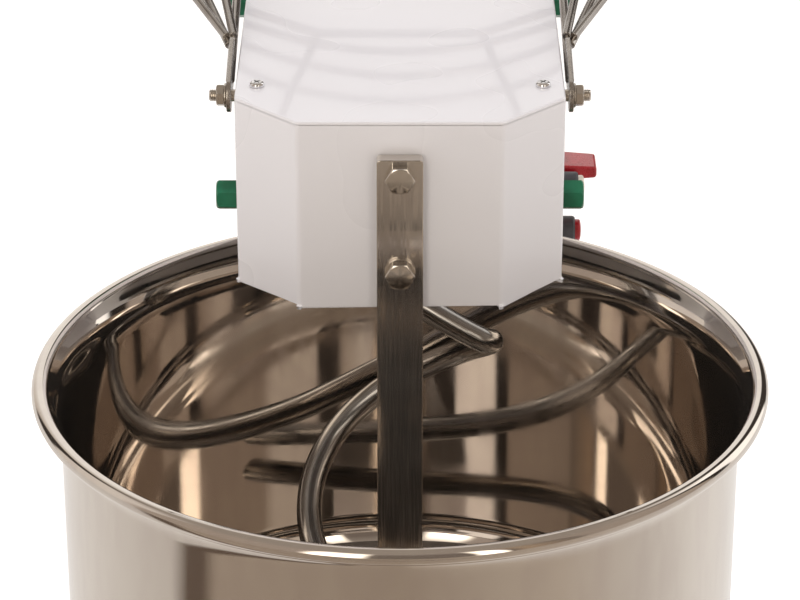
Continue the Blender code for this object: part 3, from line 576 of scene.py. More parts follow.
def arc(
    centre: tuple[float, float], radius: float, start: float, end: float, steps: int
) -> list[tuple[float, float]]:
    """Points on a circular arc.

    Args:
        centre: Centre of the arc.
        radius: Its radius.
        start: First angle in degrees.
        end: Last angle in degrees.
        steps: Number of steps between them.

    Returns:
        The points, both ends included.
    """
    turns = [math.radians(start + (end - start) * i / steps) for i in range(steps + 1)]
    return [(centre[0] + radius * math.cos(a), centre[1] + radius * math.sin(a)) for a in turns]


def new_verts(result: dict) -> list[bmesh.types.BMVert]:
    """The vertices that an extrusion has made."""
    return [item for item in result["geom"] if isinstance(item, bmesh.types.BMVert)]


def extruded(outline: Sequence[tuple[float, float]], low: float, high: float) -> Mesh:
    """Raises a plan outline to a prism.

    Args:
        outline: Corners in millimetres.
        low: Height of its bottom in millimetres.
        high: Height of its top in millimetres.

    Returns:
        The closed prism.
    """
    bm = bmesh.new()
    face = bm.faces.new([bm.verts.new((x * MM, y * MM, low * MM)) for x, y in outline])
    verts = new_verts(bmesh.ops.extrude_face_region(bm, geom=[face]))
    bmesh.ops.translate(bm, verts=verts, vec=(0.0, 0.0, (high - low) * MM))
    bmesh.ops.recalc_face_normals(bm, faces=bm.faces)
    return bm


def block(low: Sequence[float], high: Sequence[float]) -> Mesh:
    """A box between two corners in millimetres, made from a unit cube."""
    bm = bmesh.new()
    bmesh.ops.create_cube(bm, size=1.0)
    size = [(b - a) * MM for a, b in zip(low, high)]
    centre = [(a + b) / 2 * MM for a, b in zip(low, high)]
    bmesh.ops.scale(bm, verts=bm.verts, vec=size)
    bmesh.ops.translate(bm, verts=bm.verts, vec=centre)
    return bm


def hexagon(across: float, low: float, high: float, chamfer: float) -> Mesh:
    """A hexagonal head whose top corners are turned off to a cone, as on a real bolt.

    Args:
        across: Width across the flats in millimetres.
        low: Height of its seat.
        high: Height of its top.
        chamfer: Height of the cone at the corners.

    Returns:
        The closed shape.
    """
    corner = across / math.sqrt(3)
    bm = bmesh.new()
    bmesh.ops.create_circle(bm, cap_ends=True, segments=6, radius=corner * MM)
    verts = new_verts(bmesh.ops.extrude_face_region(bm, geom=list(bm.faces)))
    bmesh.ops.translate(bm, verts=verts, vec=(0.0, 0.0, (high - low) * MM))
    moved(bm, Matrix.Translation((0.0, 0.0, low * MM)) @ Matrix.Rotation(math.pi / 6, 4, "Z"))
    beyond, top_radius = corner + 2.0, across / 2 * 0.93
    cone = [(0.0, low - 1.0), (beyond, low - 1.0), (beyond, high - chamfer * 2.2)]
    cone += [(top_radius, high), (0.0, high)]
    shape = carved(bm, turned(cone, 96), "INTERSECT")
    return softened(shape, 0.35, 2, math.radians(50))


def smooth_path(points: Sequence[Vector], steps: int) -> list[Vector]:
    """A curve through all the points.

    Args:
        points: Points that it passes through.
        steps: Steps between each pair of them.

    Returns:
        The points of the curve.
    """
    padded = [2 * points[0] - points[1], *points, 2 * points[-1] - points[-2]]
    path = []
    for a, b, c, d in zip(padded, padded[1:], padded[2:], padded[3:]):
        for i in range(steps):
            t = i / steps
            bend = (2 * a - 5 * b + 4 * c - d) * t * t + (3 * b - 3 * c + d - a) * t**3
            path.append(0.5 * (2 * b + (c - a) * t + bend))
    return [*path, points[-1]]


def bent_path(corners: Sequence[Vector], radius_mm: float, steps: int = 6) -> list[Vector]:
    """Rounds the inner corners of a polyline, as a wire bender does.

    Args:
        corners: Corners of the polyline.
        radius_mm: Length of straight that each bend takes on both sides.
        steps: Steps in each bend.

    Returns:
        The points of the bent line.
    """
    path = [corners[0]]
    for before, corner, after in zip(corners, corners[1:], corners[2:]):
        reach = min(radius_mm * MM, (before - corner).length * 0.45, (after - corner).length * 0.45)
        start = corner + (before - corner).normalized() * reach
        end = corner + (after - corner).normalized() * reach
        for i in range(steps + 1):
            t = i / steps
            path.append(start.lerp(corner, t).lerp(corner.lerp(end, t), t))
    return [*path, corners[-1]]


def rounded_path(points: Sequence[Vector], rounds: int) -> list[Vector]:
    """Smooths a line by cutting each corner a quarter of the way, several times over.

    Args:
        points: Corners of the line. Both ends stay.
        rounds: How often the corners are cut.

    Returns:
        The points of the smooth line.
    """
    path = list(points)
    for _ in range(rounds):
        trimmed = [path[0]]
        for first, second in zip(path, path[1:]):
            trimmed += [first.lerp(second, 0.25), first.lerp(second, 0.75)]
        path = [*trimmed, path[-1]]
    return path


def round_bar(path: Sequence[Vector], radius_mm: float, sides: int = 16, end_mm: float = 0.6) -> Mesh:
    """Draws a round bar along a path, one extruded ring after another, without twist.

    The UV map holds metres along the bar and round it, so that polishing lines follow the bar.

    Args:
        path: Centre line.
        radius_mm: Radius of the bar.
        sides: Sides of its section.
        end_mm: Width of the rounding at both ends.

    Returns:
        The closed bar.
    """
    radius = radius_mm * MM
    bm = bmesh.new()
    last = len(path) - 1
    tangents = [(path[min(i + 1, last)] - path[max(i - 1, 0)]).normalized() for i in range(len(path))]
    turn = tangents[0].to_track_quat("Z", "Y")
    first = bmesh.ops.create_circle(bm, cap_ends=False, segments=sides, radius=radius)["verts"]
    bmesh.ops.transform(bm, verts=first, matrix=Matrix.Translation(path[0]) @ turn.to_matrix().to_4x4())
    edges = list(bm.edges)
    for number in range(1, len(path)):
        step = tangents[number - 1].rotation_difference(tangents[number]).to_matrix().to_4x4()
        grown = bmesh.ops.extrude_edge_only(bm, edges=edges)
        verts = new_verts(grown)
        edges = [item for item in grown["geom"] if isinstance(item, bmesh.types.BMEdge)]
        swing = Matrix.Translation(path[number]) @ step @ Matrix.Translation(-path[number - 1])
        bmesh.ops.transform(bm, verts=verts, matrix=swing)
    lay_uv(bm, path, radius, sides)
    caps = bmesh.ops.holes_fill(bm, edges=[edge for edge in bm.edges if edge.is_boundary], sides=0)["faces"]
    bmesh.ops.recalc_face_normals(bm, faces=bm.faces)
    rounded(bm, [edge for face in caps for edge in face.edges], end_mm, 3)
    return bm


def lay_uv(bm: Mesh, path: Sequence[Vector], radius: float, sides: int) -> None:
    """Writes metres along and round a bar into its UV map, from the order in which its rings were made.

    Args:
        bm: Bar without its ends.
        path: Its centre line.
        radius: Its radius in metres.
        sides: Sides of its section.
    """
    layer = bm.loops.layers.uv.new("along_bar")
    lengths = [0.0]
    for before, after in zip(path, path[1:]):
        lengths.append(lengths[-1] + (after - before).length)
    bm.verts.index_update()
    width = 2 * math.pi * radius / sides
    for face in bm.faces:
        slots = [loop.vert.index % sides for loop in face.loops]
        wraps = max(slots) - min(slots) > sides / 2
        for loop, slot in zip(face.loops, slots):
            across = slot + sides if wraps and slot < sides / 2 else slot
            loop[layer].uv = (lengths[min(loop.vert.index // sides, len(lengths) - 1)], across * width)


def is_upright(edge: bmesh.types.BMEdge) -> bool:
    """True if an edge runs straight up."""
    first, second = edge.verts[0].co, edge.verts[1].co
    return (first.xy - second.xy).length < SAME and abs(first.z - second.z) > 0.5 * MM


def lies_at(edge: bmesh.types.BMEdge, axis: str, value: float) -> bool:
    """True if both ends of an edge lie at a value of one axis, in millimetres."""
    return all(abs(getattr(vert.co, axis) - value * MM) < SAME for vert in edge.verts)


@dataclass(frozen=True)
class Mixer:
    """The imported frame, and how a finished piece is put on it."""

    frame: dict

    def axis(self, joint: str) -> Vector:
        """A joint's position."""
        return Vector(next(item["pos_m"] for item in self.frame["joints"] if item["name"] == joint))

    def low(self, node: str) -> Vector:
        """Lowest corner of a CAD node, in millimetres."""
        return Vector(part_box(node)[0]) / MM

    def high(self, node: str) -> Vector:
        """Highest corner of a CAD node, in millimetres."""
        return Vector(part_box(node)[1]) / MM

    def middle(self, node: str) -> Vector:
        """Centre of a CAD node's box, in millimetres."""
        return (self.low(node) + self.high(node)) / 2

    def put(
        self, name: str, bm: Mesh, finish: Finish, body: str, replaced: Sequence[str] = ()
    ) -> bpy.types.Object:
        """Adds a finished piece.

        Args:
            name: Name of the piece.
            bm: Its shape, in place. It is freed.
            finish: Its finish.
            body: Body that it moves with.
            replaced: CAD nodes that it stands for.

        Returns:
            The new object.
        """
        for edge in bm.edges:
            edge.smooth = edge.calc_face_angle(0.0) < SHARP
        for face in bm.faces:
            face.smooth = True
        mesh = bpy.data.meshes.new(name)
        bm.to_mesh(mesh)
        bm.free()
        mesh.materials.append(finish.material())
        obj = bpy.data.objects.new(name, mesh)
        bpy.context.scene.collection.objects.link(obj)
        shading = obj.modifiers.new("even_shading", "WEIGHTED_NORMAL")
        shading.keep_sharp = True
        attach(obj, body)
        if replaced:
            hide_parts(*replaced)
        LOG.info("%s: %d faces on %s", name, len(mesh.polygons), body)
        return obj

    def spot(self, node: str) -> Matrix:
        """Matrix that moves a shape sideways from the origin to the middle of a CAD node."""
        centre = self.middle(node)
        return Matrix.Translation((centre.x * MM, centre.y * MM, 0.0))

    def coat(self, finish: Finish, *nodes: str) -> None:
        """Gives CAD nodes a finish and leaves their shape alone."""
        for name in nodes:
            node = self.frame["nodes"][name]
            if node.data.materials:
                for number in range(len(node.data.materials)):
                    node.data.materials[number] = finish.material()
            else:
                node.data.materials.append(finish.material())
            LOG.info("%s: CAD node in %s", name, finish.name)


# ---------------------------------------------------------------- sub-assemblies


@dataclass
class Bowl:
    """The spun bowl with its rolled rim.

    Sizes are in millimetres, with heights from the rim's centre line.
    """

    mixer: Mixer
    bead_radius: float = 5.5
    wall_radius: float = 223.0
    sheet: float = 2.0
    corner: float = 32.0
    flare: float = 24.0
    steps: int = 224
    floor_rings: tuple[float, ...] = (60.0, 120.0, 170.0)
    wall_rings: tuple[float, ...] = (-60.0, -120.0, -180.0)

    def build(self) -> None:
        """Spins the bowl about its joint's axis and places it."""
        axis = self.mixer.axis("bowl_spin")
        rim_radius = self.mixer.high("bowl").x - axis.x / MM
        rim_z = self.mixer.high("bowl").z - self.bead_radius
        depth = rim_z - self.mixer.low("bowl").z
        profile = self.outside(depth) + self.bead(rim_radius) + self.inside(depth)
        bm = turned(profile, self.steps)
        moved(bm, Matrix.Translation((axis.x, axis.y, rim_z * MM)))
        centre = (axis.x, axis.y)
        name = "mirror_polished_spun_stainless"
        steel = SpunStainless(name, STEEL_SLOT, "#dcd5cd", "#d8d0c9", 0.045, centre)
        self.mixer.put("spun_bowl", bm, steel, "bowl_body", ["bowl"])

    def outside(self, depth: float) -> list[tuple[float, float]]:
        """Profile from the middle of the underside up the outer wall."""
        centre = (self.wall_radius - self.corner, self.corner - depth)
        floor = [(radius, -depth) for radius in (0.0, *self.floor_rings)]
        wall = [(self.wall_radius, height) for height in (*reversed(self.wall_rings), -self.flare)]
        return floor + arc(centre, self.corner, -90, 0, 14) + wall

    def bead(self, rim_radius: float) -> list[tuple[float, float]]:
        """Profile of the flare and the rolled bead."""
        middle = rim_radius - self.bead_radius
        wall = self.wall_radius
        neck = [(wall + 0.9, -18.0), (wall + 3.2, -12.5), (wall + 6.2, -8.0)]
        return neck + arc((middle, 0.0), self.bead_radius, -150, 168, 26)

    def inside(self, depth: float) -> list[tuple[float, float]]:
        """Profile down the inner wall to the middle of the floor."""
        floor = self.sheet - depth
        corner = self.corner - self.sheet
        centre = (self.wall_radius - self.corner, floor + corner)
        inner = self.wall_radius - self.sheet
        lip = [(inner + 6.0, -3.6), (inner + 3.4, -8.5), (inner + 1.2, -15.0), (inner + 0.2, -21.0)]
        wall = [(inner, height) for height in (-30.0, *self.wall_rings)]
        bottom = [(radius, floor) for radius in (*reversed(self.floor_rings), 0.0)]
        return lip + wall + arc(centre, corner, 0, -90, 14) + bottom


@dataclass
class SpiralHook:
    """The hook of round bar and the flange that it hangs from.

    The arm is given as places, and the helix as angle round the spiral's axis, distance from it and height
    over the rim. Angles are in degrees, the rest in millimetres.
    """

    mixer: Mixer
    rod_radius: float = 9.0
    flange_radius: float = 24.0
    flange_height: float = 14.0
    flange_top: float = 48.0
    arm: Route = ((0, 0, 42), (0, 0, 12), (5, 0, -10), (22, 0, -23), (44, 0, -37), (59, 1, -46))
    helix: Route = (
        (103, 65, -54),
        (135, 65, -76),
        (165, 65, -98),
        (195, 65, -119),
        (225, 66.5, -144),
        (255, 66, -170),
        (285, 65, -196),
        (315, 64, -216),
        (345, 64, -230),
        (375, 64, -239),
        (400, 64, -242),
    )

    def build(self) -> None:
        """Bends the bar and adds its turned flange."""
        axis = self.mixer.axis("spiral_spin")
        rim = self.mixer.high("spiral_hook").z - self.flange_top
        place = Matrix.Translation((axis.x, axis.y, rim * MM))
        bar = round_bar(self.centre_line(), self.rod_radius, 32, 2.5)
        wide, top = self.flange_radius, self.flange_top
        low = top - self.flange_height
        disc = softened(turned([(0, low), (wide, low), (wide, top), (0, top)], 96), 1.2)
        weld = [(0, low - 5.0), (11.0, low - 5.0), (13.5, low - 1.0), (14.0, low + 1.0), (0, low + 1.0)]
        self.mixer.put("spiral_hook_bar", moved(bar, place), HOOK_STEEL, "spiral_body", ["spiral_hook"])
        flange = moved(merged(disc, turned(weld, 64)), place)
        self.mixer.put("spiral_hook_flange", flange, BOLT_STEEL, "spiral_body", ["spiral_hook"])

    def centre_line(self) -> list[Vector]:
        """The bar's centre line, from the flange down to the free end."""
        points = [Vector(point) for point in self.arm]
        for bearing, reach, height in self.helix:
            angle = math.radians(bearing)
            points.append(Vector((reach * math.sin(angle), -reach * math.cos(angle), height)))
        return smooth_path([point * MM for point in points], 10)


@dataclass
class BreakerBar:
    """The flat bar down the bowl's axis, with its two bolts and one washer. Sizes are in millimetres."""

    mixer: Mixer
    corner: float = 2.6
    edge: float = 0.8
    across_flats: float = 17.0
    head: float = 6.4
    shank: float = 5.0

    def build(self) -> None:
        """Makes the bar and its fasteners."""
        low, high = self.mixer.low("breaker_bar"), self.mixer.high("breaker_bar")
        half, bottom, top = (high.x - low.x) / 2, low.z, high.z
        corners = [(-half, bottom), (half, bottom), (half, top), (-half, top)]
        bar = extruded(corners, 0.0, high.y - low.y)
        upright = [edge for edge in bar.edges if abs(edge.verts[0].co.z - edge.verts[1].co.z) > MM]
        rounded(bar, upright, self.corner, 6)
        bar = softened(bar, self.edge, 3)
        moved(bar, self.facing(high.y))
        self.mixer.put("flat_breaker_bar", bar, BAR_STEEL, "frame", ["breaker_bar"])
        self.add_bolt("bar_bolt_upper")
        self.add_bolt("bar_bolt_lower")
        self.add_washer()

    def facing(self, back: float) -> Matrix:
        """Matrix that lays a shape built upwards on Z so that it grows towards the front from a given Y."""
        return Matrix.Translation((0.0, back * MM, 0.0)) @ Matrix.Rotation(math.pi / 2, 4, "X")

    def add_bolt(self, node: str) -> None:
        """Makes a hex bolt in the place of a CAD one."""
        front, back = self.mixer.low(node).y, self.mixer.high(node).y
        seat = back - (front + self.head)
        head = hexagon(self.across_flats, 0.0, self.head, 1.1)
        shank = turned([(0, -seat), (self.shank, -seat), (self.shank, 0.5), (0, 0.5)], 32)
        centre = self.mixer.middle(node)
        place = Matrix.Translation((centre.x * MM, 0.0, centre.z * MM)) @ self.facing(front + self.head)
        self.mixer.put(f"hex_{node}", moved(merged(head, shank), place), BOLT_STEEL, "frame", [node])

    def add_washer(self) -> None:
        """Makes the plain washer under the lower bolt."""
        node = "bar_washer_lower"
        low, high, centre = self.mixer.low(node), self.mixer.high(node), self.mixer.middle(node)
        outer, thick, inner = (high.x - low.x) / 2, high.y - low.y, self.shank + 0.4
        ring = turned([(inner, 0.0), (outer, 0.0), (outer, thick), (inner, thick)], 64)
        place = Matrix.Translation((centre.x * MM, 0.0, centre.z * MM)) @ self.facing(high.y)
        self.mixer.put("plain_washer", moved(softened(ring, 0.35, 2), place), BOLT_STEEL, "frame", [node])


@dataclass
class HeadAndColumn:
    """The folded skin of the head and column, and its two covers with their screws.

    Sizes are in millimetres.
    """

    mixer: Mixer
    chamfer: float = 41.2
    sheet: float = 2.0
    bend: float = 2.2
    flange: float = 14.0
    lip_inset: float = 2.6
    screw_head: float = 2.9
    louvres: int = 7
    first_louvre: float = 600.0
    louvre_pitch: float = 16.0
    louvre_reach: float = 52.0
    louvre_slot: float = 3.0
    hood: float = 6.4

    def build(self) -> None:
        """Makes the skin, then the covers and screws."""
        self.add_skin()
        self.add_cover()
        for corner in CORNERS:
            self.add_screw(f"lid_screw_{corner}")
        self.add_rear_cover()
        self.mixer.coat(ENAMEL, "head_underplate")

    def add_skin(self) -> None:
        """Folds the skin from the side view of the head and column."""
        low, high = self.mixer.low("body_shell"), self.mixer.high("body_shell")
        bottom = self.mixer.low("head_underplate").z - 1.5
        column = self.mixer.high("head_underplate").y - 10.0
        side = [(low.y, bottom), (column, bottom), (column, low.z), (high.y, low.z)]
        side += [(high.y, high.z), (low.y, high.z)]
        bm = extruded(side, low.x, high.x)
        moved(bm, X_FROM_Z)
        self.fold_front(bm, low.y, column + 1.0)
        open_faces = [face for face in bm.faces if self.is_open(face, low, high, bottom)]
        underside = [face for face in open_faces if face.normal.z < -0.99 and self.level(face, bottom)]
        bmesh.ops.inset_region(bm, faces=underside, thickness=self.flange * MM, use_even_offset=True)
        bmesh.ops.delete(bm, geom=open_faces, context="FACES")
        rim = [edge for edge in bm.edges if self.is_lower_rim(edge, bottom)]
        rounded(bm, rim, 1.6, 4)
        bmesh.ops.recalc_face_normals(bm, faces=bm.faces)
        skin = self.mixer.put("head_and_column_skin", self.outward(bm), ENAMEL, "frame", ["body_shell"])
        wall = skin.modifiers.new("sheet", "SOLIDIFY")
        wall.thickness = self.sheet * MM
        wall.offset = -1.0
        skin.modifiers.move(1, 0)

    def fold_front(self, bm: Mesh, front: float, behind: float) -> None:
        """Folds the two front corners and rounds each fold.

        Args:
            bm: Skin or cover with square corners.
            front: Y of its front in millimetres.
            behind: Y in millimetres past which nothing is folded.
        """
        square = [edge for edge in bm.edges if is_upright(edge) and lies_at(edge, "y", front)]
        rounded(bm, square, self.chamfer, 1)
        folds = [edge for edge in bm.edges if is_upright(edge) and edge.verts[0].co.y < behind * MM]
        rounded(bm, folds, self.bend, 5)

    def level(self, face: bmesh.types.BMFace, height: float) -> bool:
        """True if a face lies at a height in millimetres."""
        return abs(face.calc_center_median().z - height * MM) < SAME

    def is_open(self, face: bmesh.types.BMFace, low: Vector, high: Vector, bottom: float) -> bool:
        """True for the faces that the real skin leaves open: top, rear and undersides."""
        centre = face.calc_center_median()
        rear = abs(centre.y - high.y * MM) < SAME
        return rear or self.level(face, high.z) or self.level(face, low.z) or self.level(face, bottom)

    def is_lower_rim(self, edge: bmesh.types.BMEdge, bottom: float) -> bool:
        """True for the fold between the head's sides and its inward flange, which ends before the column."""
        if not lies_at(edge, "z", bottom) or len(edge.link_faces) != 2:
            return False
        normals = sorted(abs(face.normal.z) for face in edge.link_faces)
        front = max(vert.co.y for vert in edge.verts) < 0.1
        return front and normals[0] < 0.1 and normals[1] > 0.9

    def outward(self, bm: Mesh) -> Mesh:
        """Turns an open skin so that its front face looks to the front."""
        front = min(bm.faces, key=lambda face: face.calc_center_median().y)
        if front.normal.y > 0:
            bmesh.ops.reverse_faces(bm, faces=bm.faces)
        return bm

    def add_cover(self) -> None:
        """Makes the top cover with its rounded edge and the lip under it."""
        low, high = self.mixer.low("top_lid"), self.mixer.high("top_lid")
        underside = high.z - self.sheet
        plan = [(low.x, high.y), (low.x, low.y), (high.x, low.y), (high.x, high.y)]
        bm = extruded(plan, underside, high.z)
        self.fold_front(bm, low.y, 0.0)
        rounded(bm, [edge for edge in bm.edges if lies_at(edge, "z", high.z)], 1.3, 4)
        under = [face for face in bm.faces if face.normal.z < -0.99]
        self.push(bm, under, self.lip_inset, low.z - underside)
        under = [face for face in bm.faces if face.normal.z < -0.99 and self.level(face, low.z)]
        self.push(bm, under, self.sheet, underside - low.z)
        self.mixer.put("top_cover", bm, ENAMEL, "frame", ["top_lid"])

    def push(self, bm: Mesh, faces: list[bmesh.types.BMFace], inset: float, rise: float) -> None:
        """Insets a flat region and moves it up or down to form a step, in millimetres."""
        bmesh.ops.inset_region(bm, faces=faces, thickness=inset * MM, use_even_offset=True)
        verts = new_verts(bmesh.ops.extrude_face_region(bm, geom=faces))
        bmesh.ops.delete(bm, geom=faces, context="FACES_ONLY")
        bmesh.ops.translate(bm, verts=verts, vec=(0.0, 0.0, rise * MM))
        bmesh.ops.recalc_face_normals(bm, faces=bm.faces)

    def add_screw(self, node: str) -> None:
        """Makes a pan-head screw with a cross recess."""
        low, high = self.mixer.low(node), self.mixer.high(node)
        seat = high.z - self.screw_head
        radius = (high.x - low.x) / 2
        pan = [(0.0, low.z), (2.5, low.z), (2.5, seat), (radius, seat), (radius, seat + 0.9)]
        pan += arc((radius - 2.1, seat + 0.8), 2.1, 0, 90, 8) + [(0.0, high.z)]
        screw = turned(pan, 48)
        for turn in (math.pi / 4, -math.pi / 4):
            slot = block((-2.5, -0.55, high.z - 1.7), (2.5, 0.55, high.z + 2.0))
            screw = carved(screw, moved(slot, Matrix.Rotation(turn, 4, "Z")))
        self.mixer.put(f"pan_head_{node}", moved(screw, self.mixer.spot(node)), BRIGHT_ZINC, "frame", [node])

    def add_rear_cover(self) -> None:
        """Makes the rear cover with its louvres pressed inwards."""
        low, high = self.mixer.low("rear_panel"), self.mixer.high("rear_panel")
        heights = [self.first_louvre + self.louvre_pitch * row for row in range(self.louvres)]
        slots = merged(bmesh.new(), *[self.louvre_cut(height, high.y) for height in heights])
        panel = carved(block(low, high), slots)
        hoods = [self.louvre_hood(height, low.y) for height in heights]
        self.mixer.put("rear_cover", merged(panel, *hoods), ENAMEL, "frame", ["rear_panel"])

    def louvre_cut(self, height: float, outside: float) -> Mesh:
        """The round-ended slot of one louvre, as a tool that reaches through the rear cover.

        Args:
            height: Height of the slot's lower edge in millimetres.
            outside: Y of the cover's outside in millimetres.

        Returns:
            The closed tool.
        """
        reach, half, middle = self.louvre_reach, self.louvre_slot, height + self.louvre_slot
        outline = arc((reach, middle), half, -90, 90, 8) + arc((-reach, middle), half, 90, 270, 8)
        stand = Matrix.Translation((0.0, outside * MM, 0.0)) @ Matrix.Rotation(math.pi / 2, 4, "X")
        return moved(extruded(outline, -6.0, 6.0), stand)

    def louvre_hood(self, height: float, inside: float) -> Mesh:
        """The hood over one louvre, a quarter of a tube that bulges inwards.

        Args:
            height: Height of the slot's lower edge in millimetres.
            inside: Y of the cover's inside in millimetres.

        Returns:
            The closed hood.
        """
        reach, outer, inner = self.louvre_reach, self.hood, self.hood - 0.8
        hood = turned([(inner, -reach), (outer, -reach), (outer, reach), (inner, reach)], 32)
        for normal in ((1, 0, 0), (0, 1, 0)):
            geometry = hood.verts[:] + hood.edges[:] + hood.faces[:]
            bmesh.ops.bisect_plane(hood, geom=geometry, plane_co=(0, 0, 0), plane_no=normal, clear_outer=True)
        bmesh.ops.holes_fill(hood, edges=[edge for edge in hood.edges if edge.is_boundary], sides=0)
        top = height + 2 * self.louvre_slot
        lay = Matrix.Translation((0.0, inside * MM, top * MM)) @ Matrix.Rotation(math.pi / 2, 4, "Y")
        return moved(hood, lay)


@dataclass
class Base:
    """The painted base, its bottom plate and its four feet. Sizes are in millimetres."""

    mixer: Mixer
    front_radius: float = 205.0
    half_width: float = 165.0
    shoulder: float = -9.0
    sheet: float = 2.0
    shaft_way: float = 48.0
    thread_pitch: float = 1.25

    def build(self) -> None:
        """Makes the housing and the feet."""
        self.add_housing()
        self.mixer.coat(ZINC, "base_bottom_plate")
        for corner in CORNERS:
            self.add_foot(f"foot_{corner}")

    def outline(self, inset: float) -> list[tuple[float, float]]:
        """Plan of the base, half-round at the front and square at the rear."""
        centre = self.mixer.axis("bowl_spin").y / MM
        rear = self.mixer.high("base_housing").y - inset
        half = self.half_width - inset
        front = arc((0.0, centre), self.front_radius - inset, -180, 0, 64)
        return front + [(half, self.shoulder), (half, rear), (-half, rear), (-half, self.shoulder)]

    def add_housing(self) -> None:
        """Makes the folded base with a rounded top edge and the way for the bowl's shaft."""
        low, high = self.mixer.low("base_housing").z, self.mixer.high("base_housing").z
        shell = extruded(self.outline(0.0), low, high)
        posts = [edge for edge in shell.edges if self.is_corner(edge)]
        rounded(shell, posts, 5.0, 5)
        rounded(shell, [edge for edge in shell.edges if lies_at(edge, "z", high)], 3.0, 4)
        shell = carved(shell, extruded(self.outline(self.sheet), low - 5.0, high - self.sheet))
        axis = self.mixer.axis("bowl_spin")
        wide, bottom, above = self.shaft_way, high - 10.0, high + 10.0
        way = turned([(0.0, bottom), (wide, bottom), (wide, above), (0.0, above)], 96)
        shell = carved(shell, moved(way, Matrix.Translation((axis.x, axis.y, 0.0))))
        self.mixer.put("base_casing", shell, ENAMEL, "frame", ["base_housing"])

    def is_corner(self, edge: bmesh.types.BMEdge) -> bool:
        """True for an upright edge where the base's plan turns sharply."""
        return is_upright(edge) and edge.calc_face_angle(0.0) > math.radians(15)

    def add_foot(self, node: str) -> None:
        """Makes a levelling foot: a rubber pad on a threaded stem."""
        low, high = self.mixer.low(node), self.mixer.high(node)
        wide = (high.x - low.x) / 2
        pad = [(0.0, 0.0), (wide - 4.0, 0.0), (wide - 0.6, 2.4), (wide, 5.0), (wide - 1.6, 13.0)]
        pad += [(wide - 4.5, 15.5), (10.5, 18.0), (9.0, 18.6), (9.0, 22.0), (0.0, 22.0)]
        stem = [(0.0, 20.0), (8.9, 20.0), (8.9, 29.6), (5.0, 30.0)]
        for number in range(int((high.z - 31.0) / self.thread_pitch)):
            crest = 30.6 + self.thread_pitch * number
            stem += [(5.0, crest), (4.4, crest + 0.6)]
        stem += [(4.4, high.z), (0.0, high.z)]
        place = self.mixer.spot(node)
        self.mixer.put(f"pad_{node}", moved(turned(pad, 64), place), RUBBER, "frame", [node])
        self.mixer.put(f"stem_{node}", moved(turned(stem, 32), place), ZINC, "frame", [node])


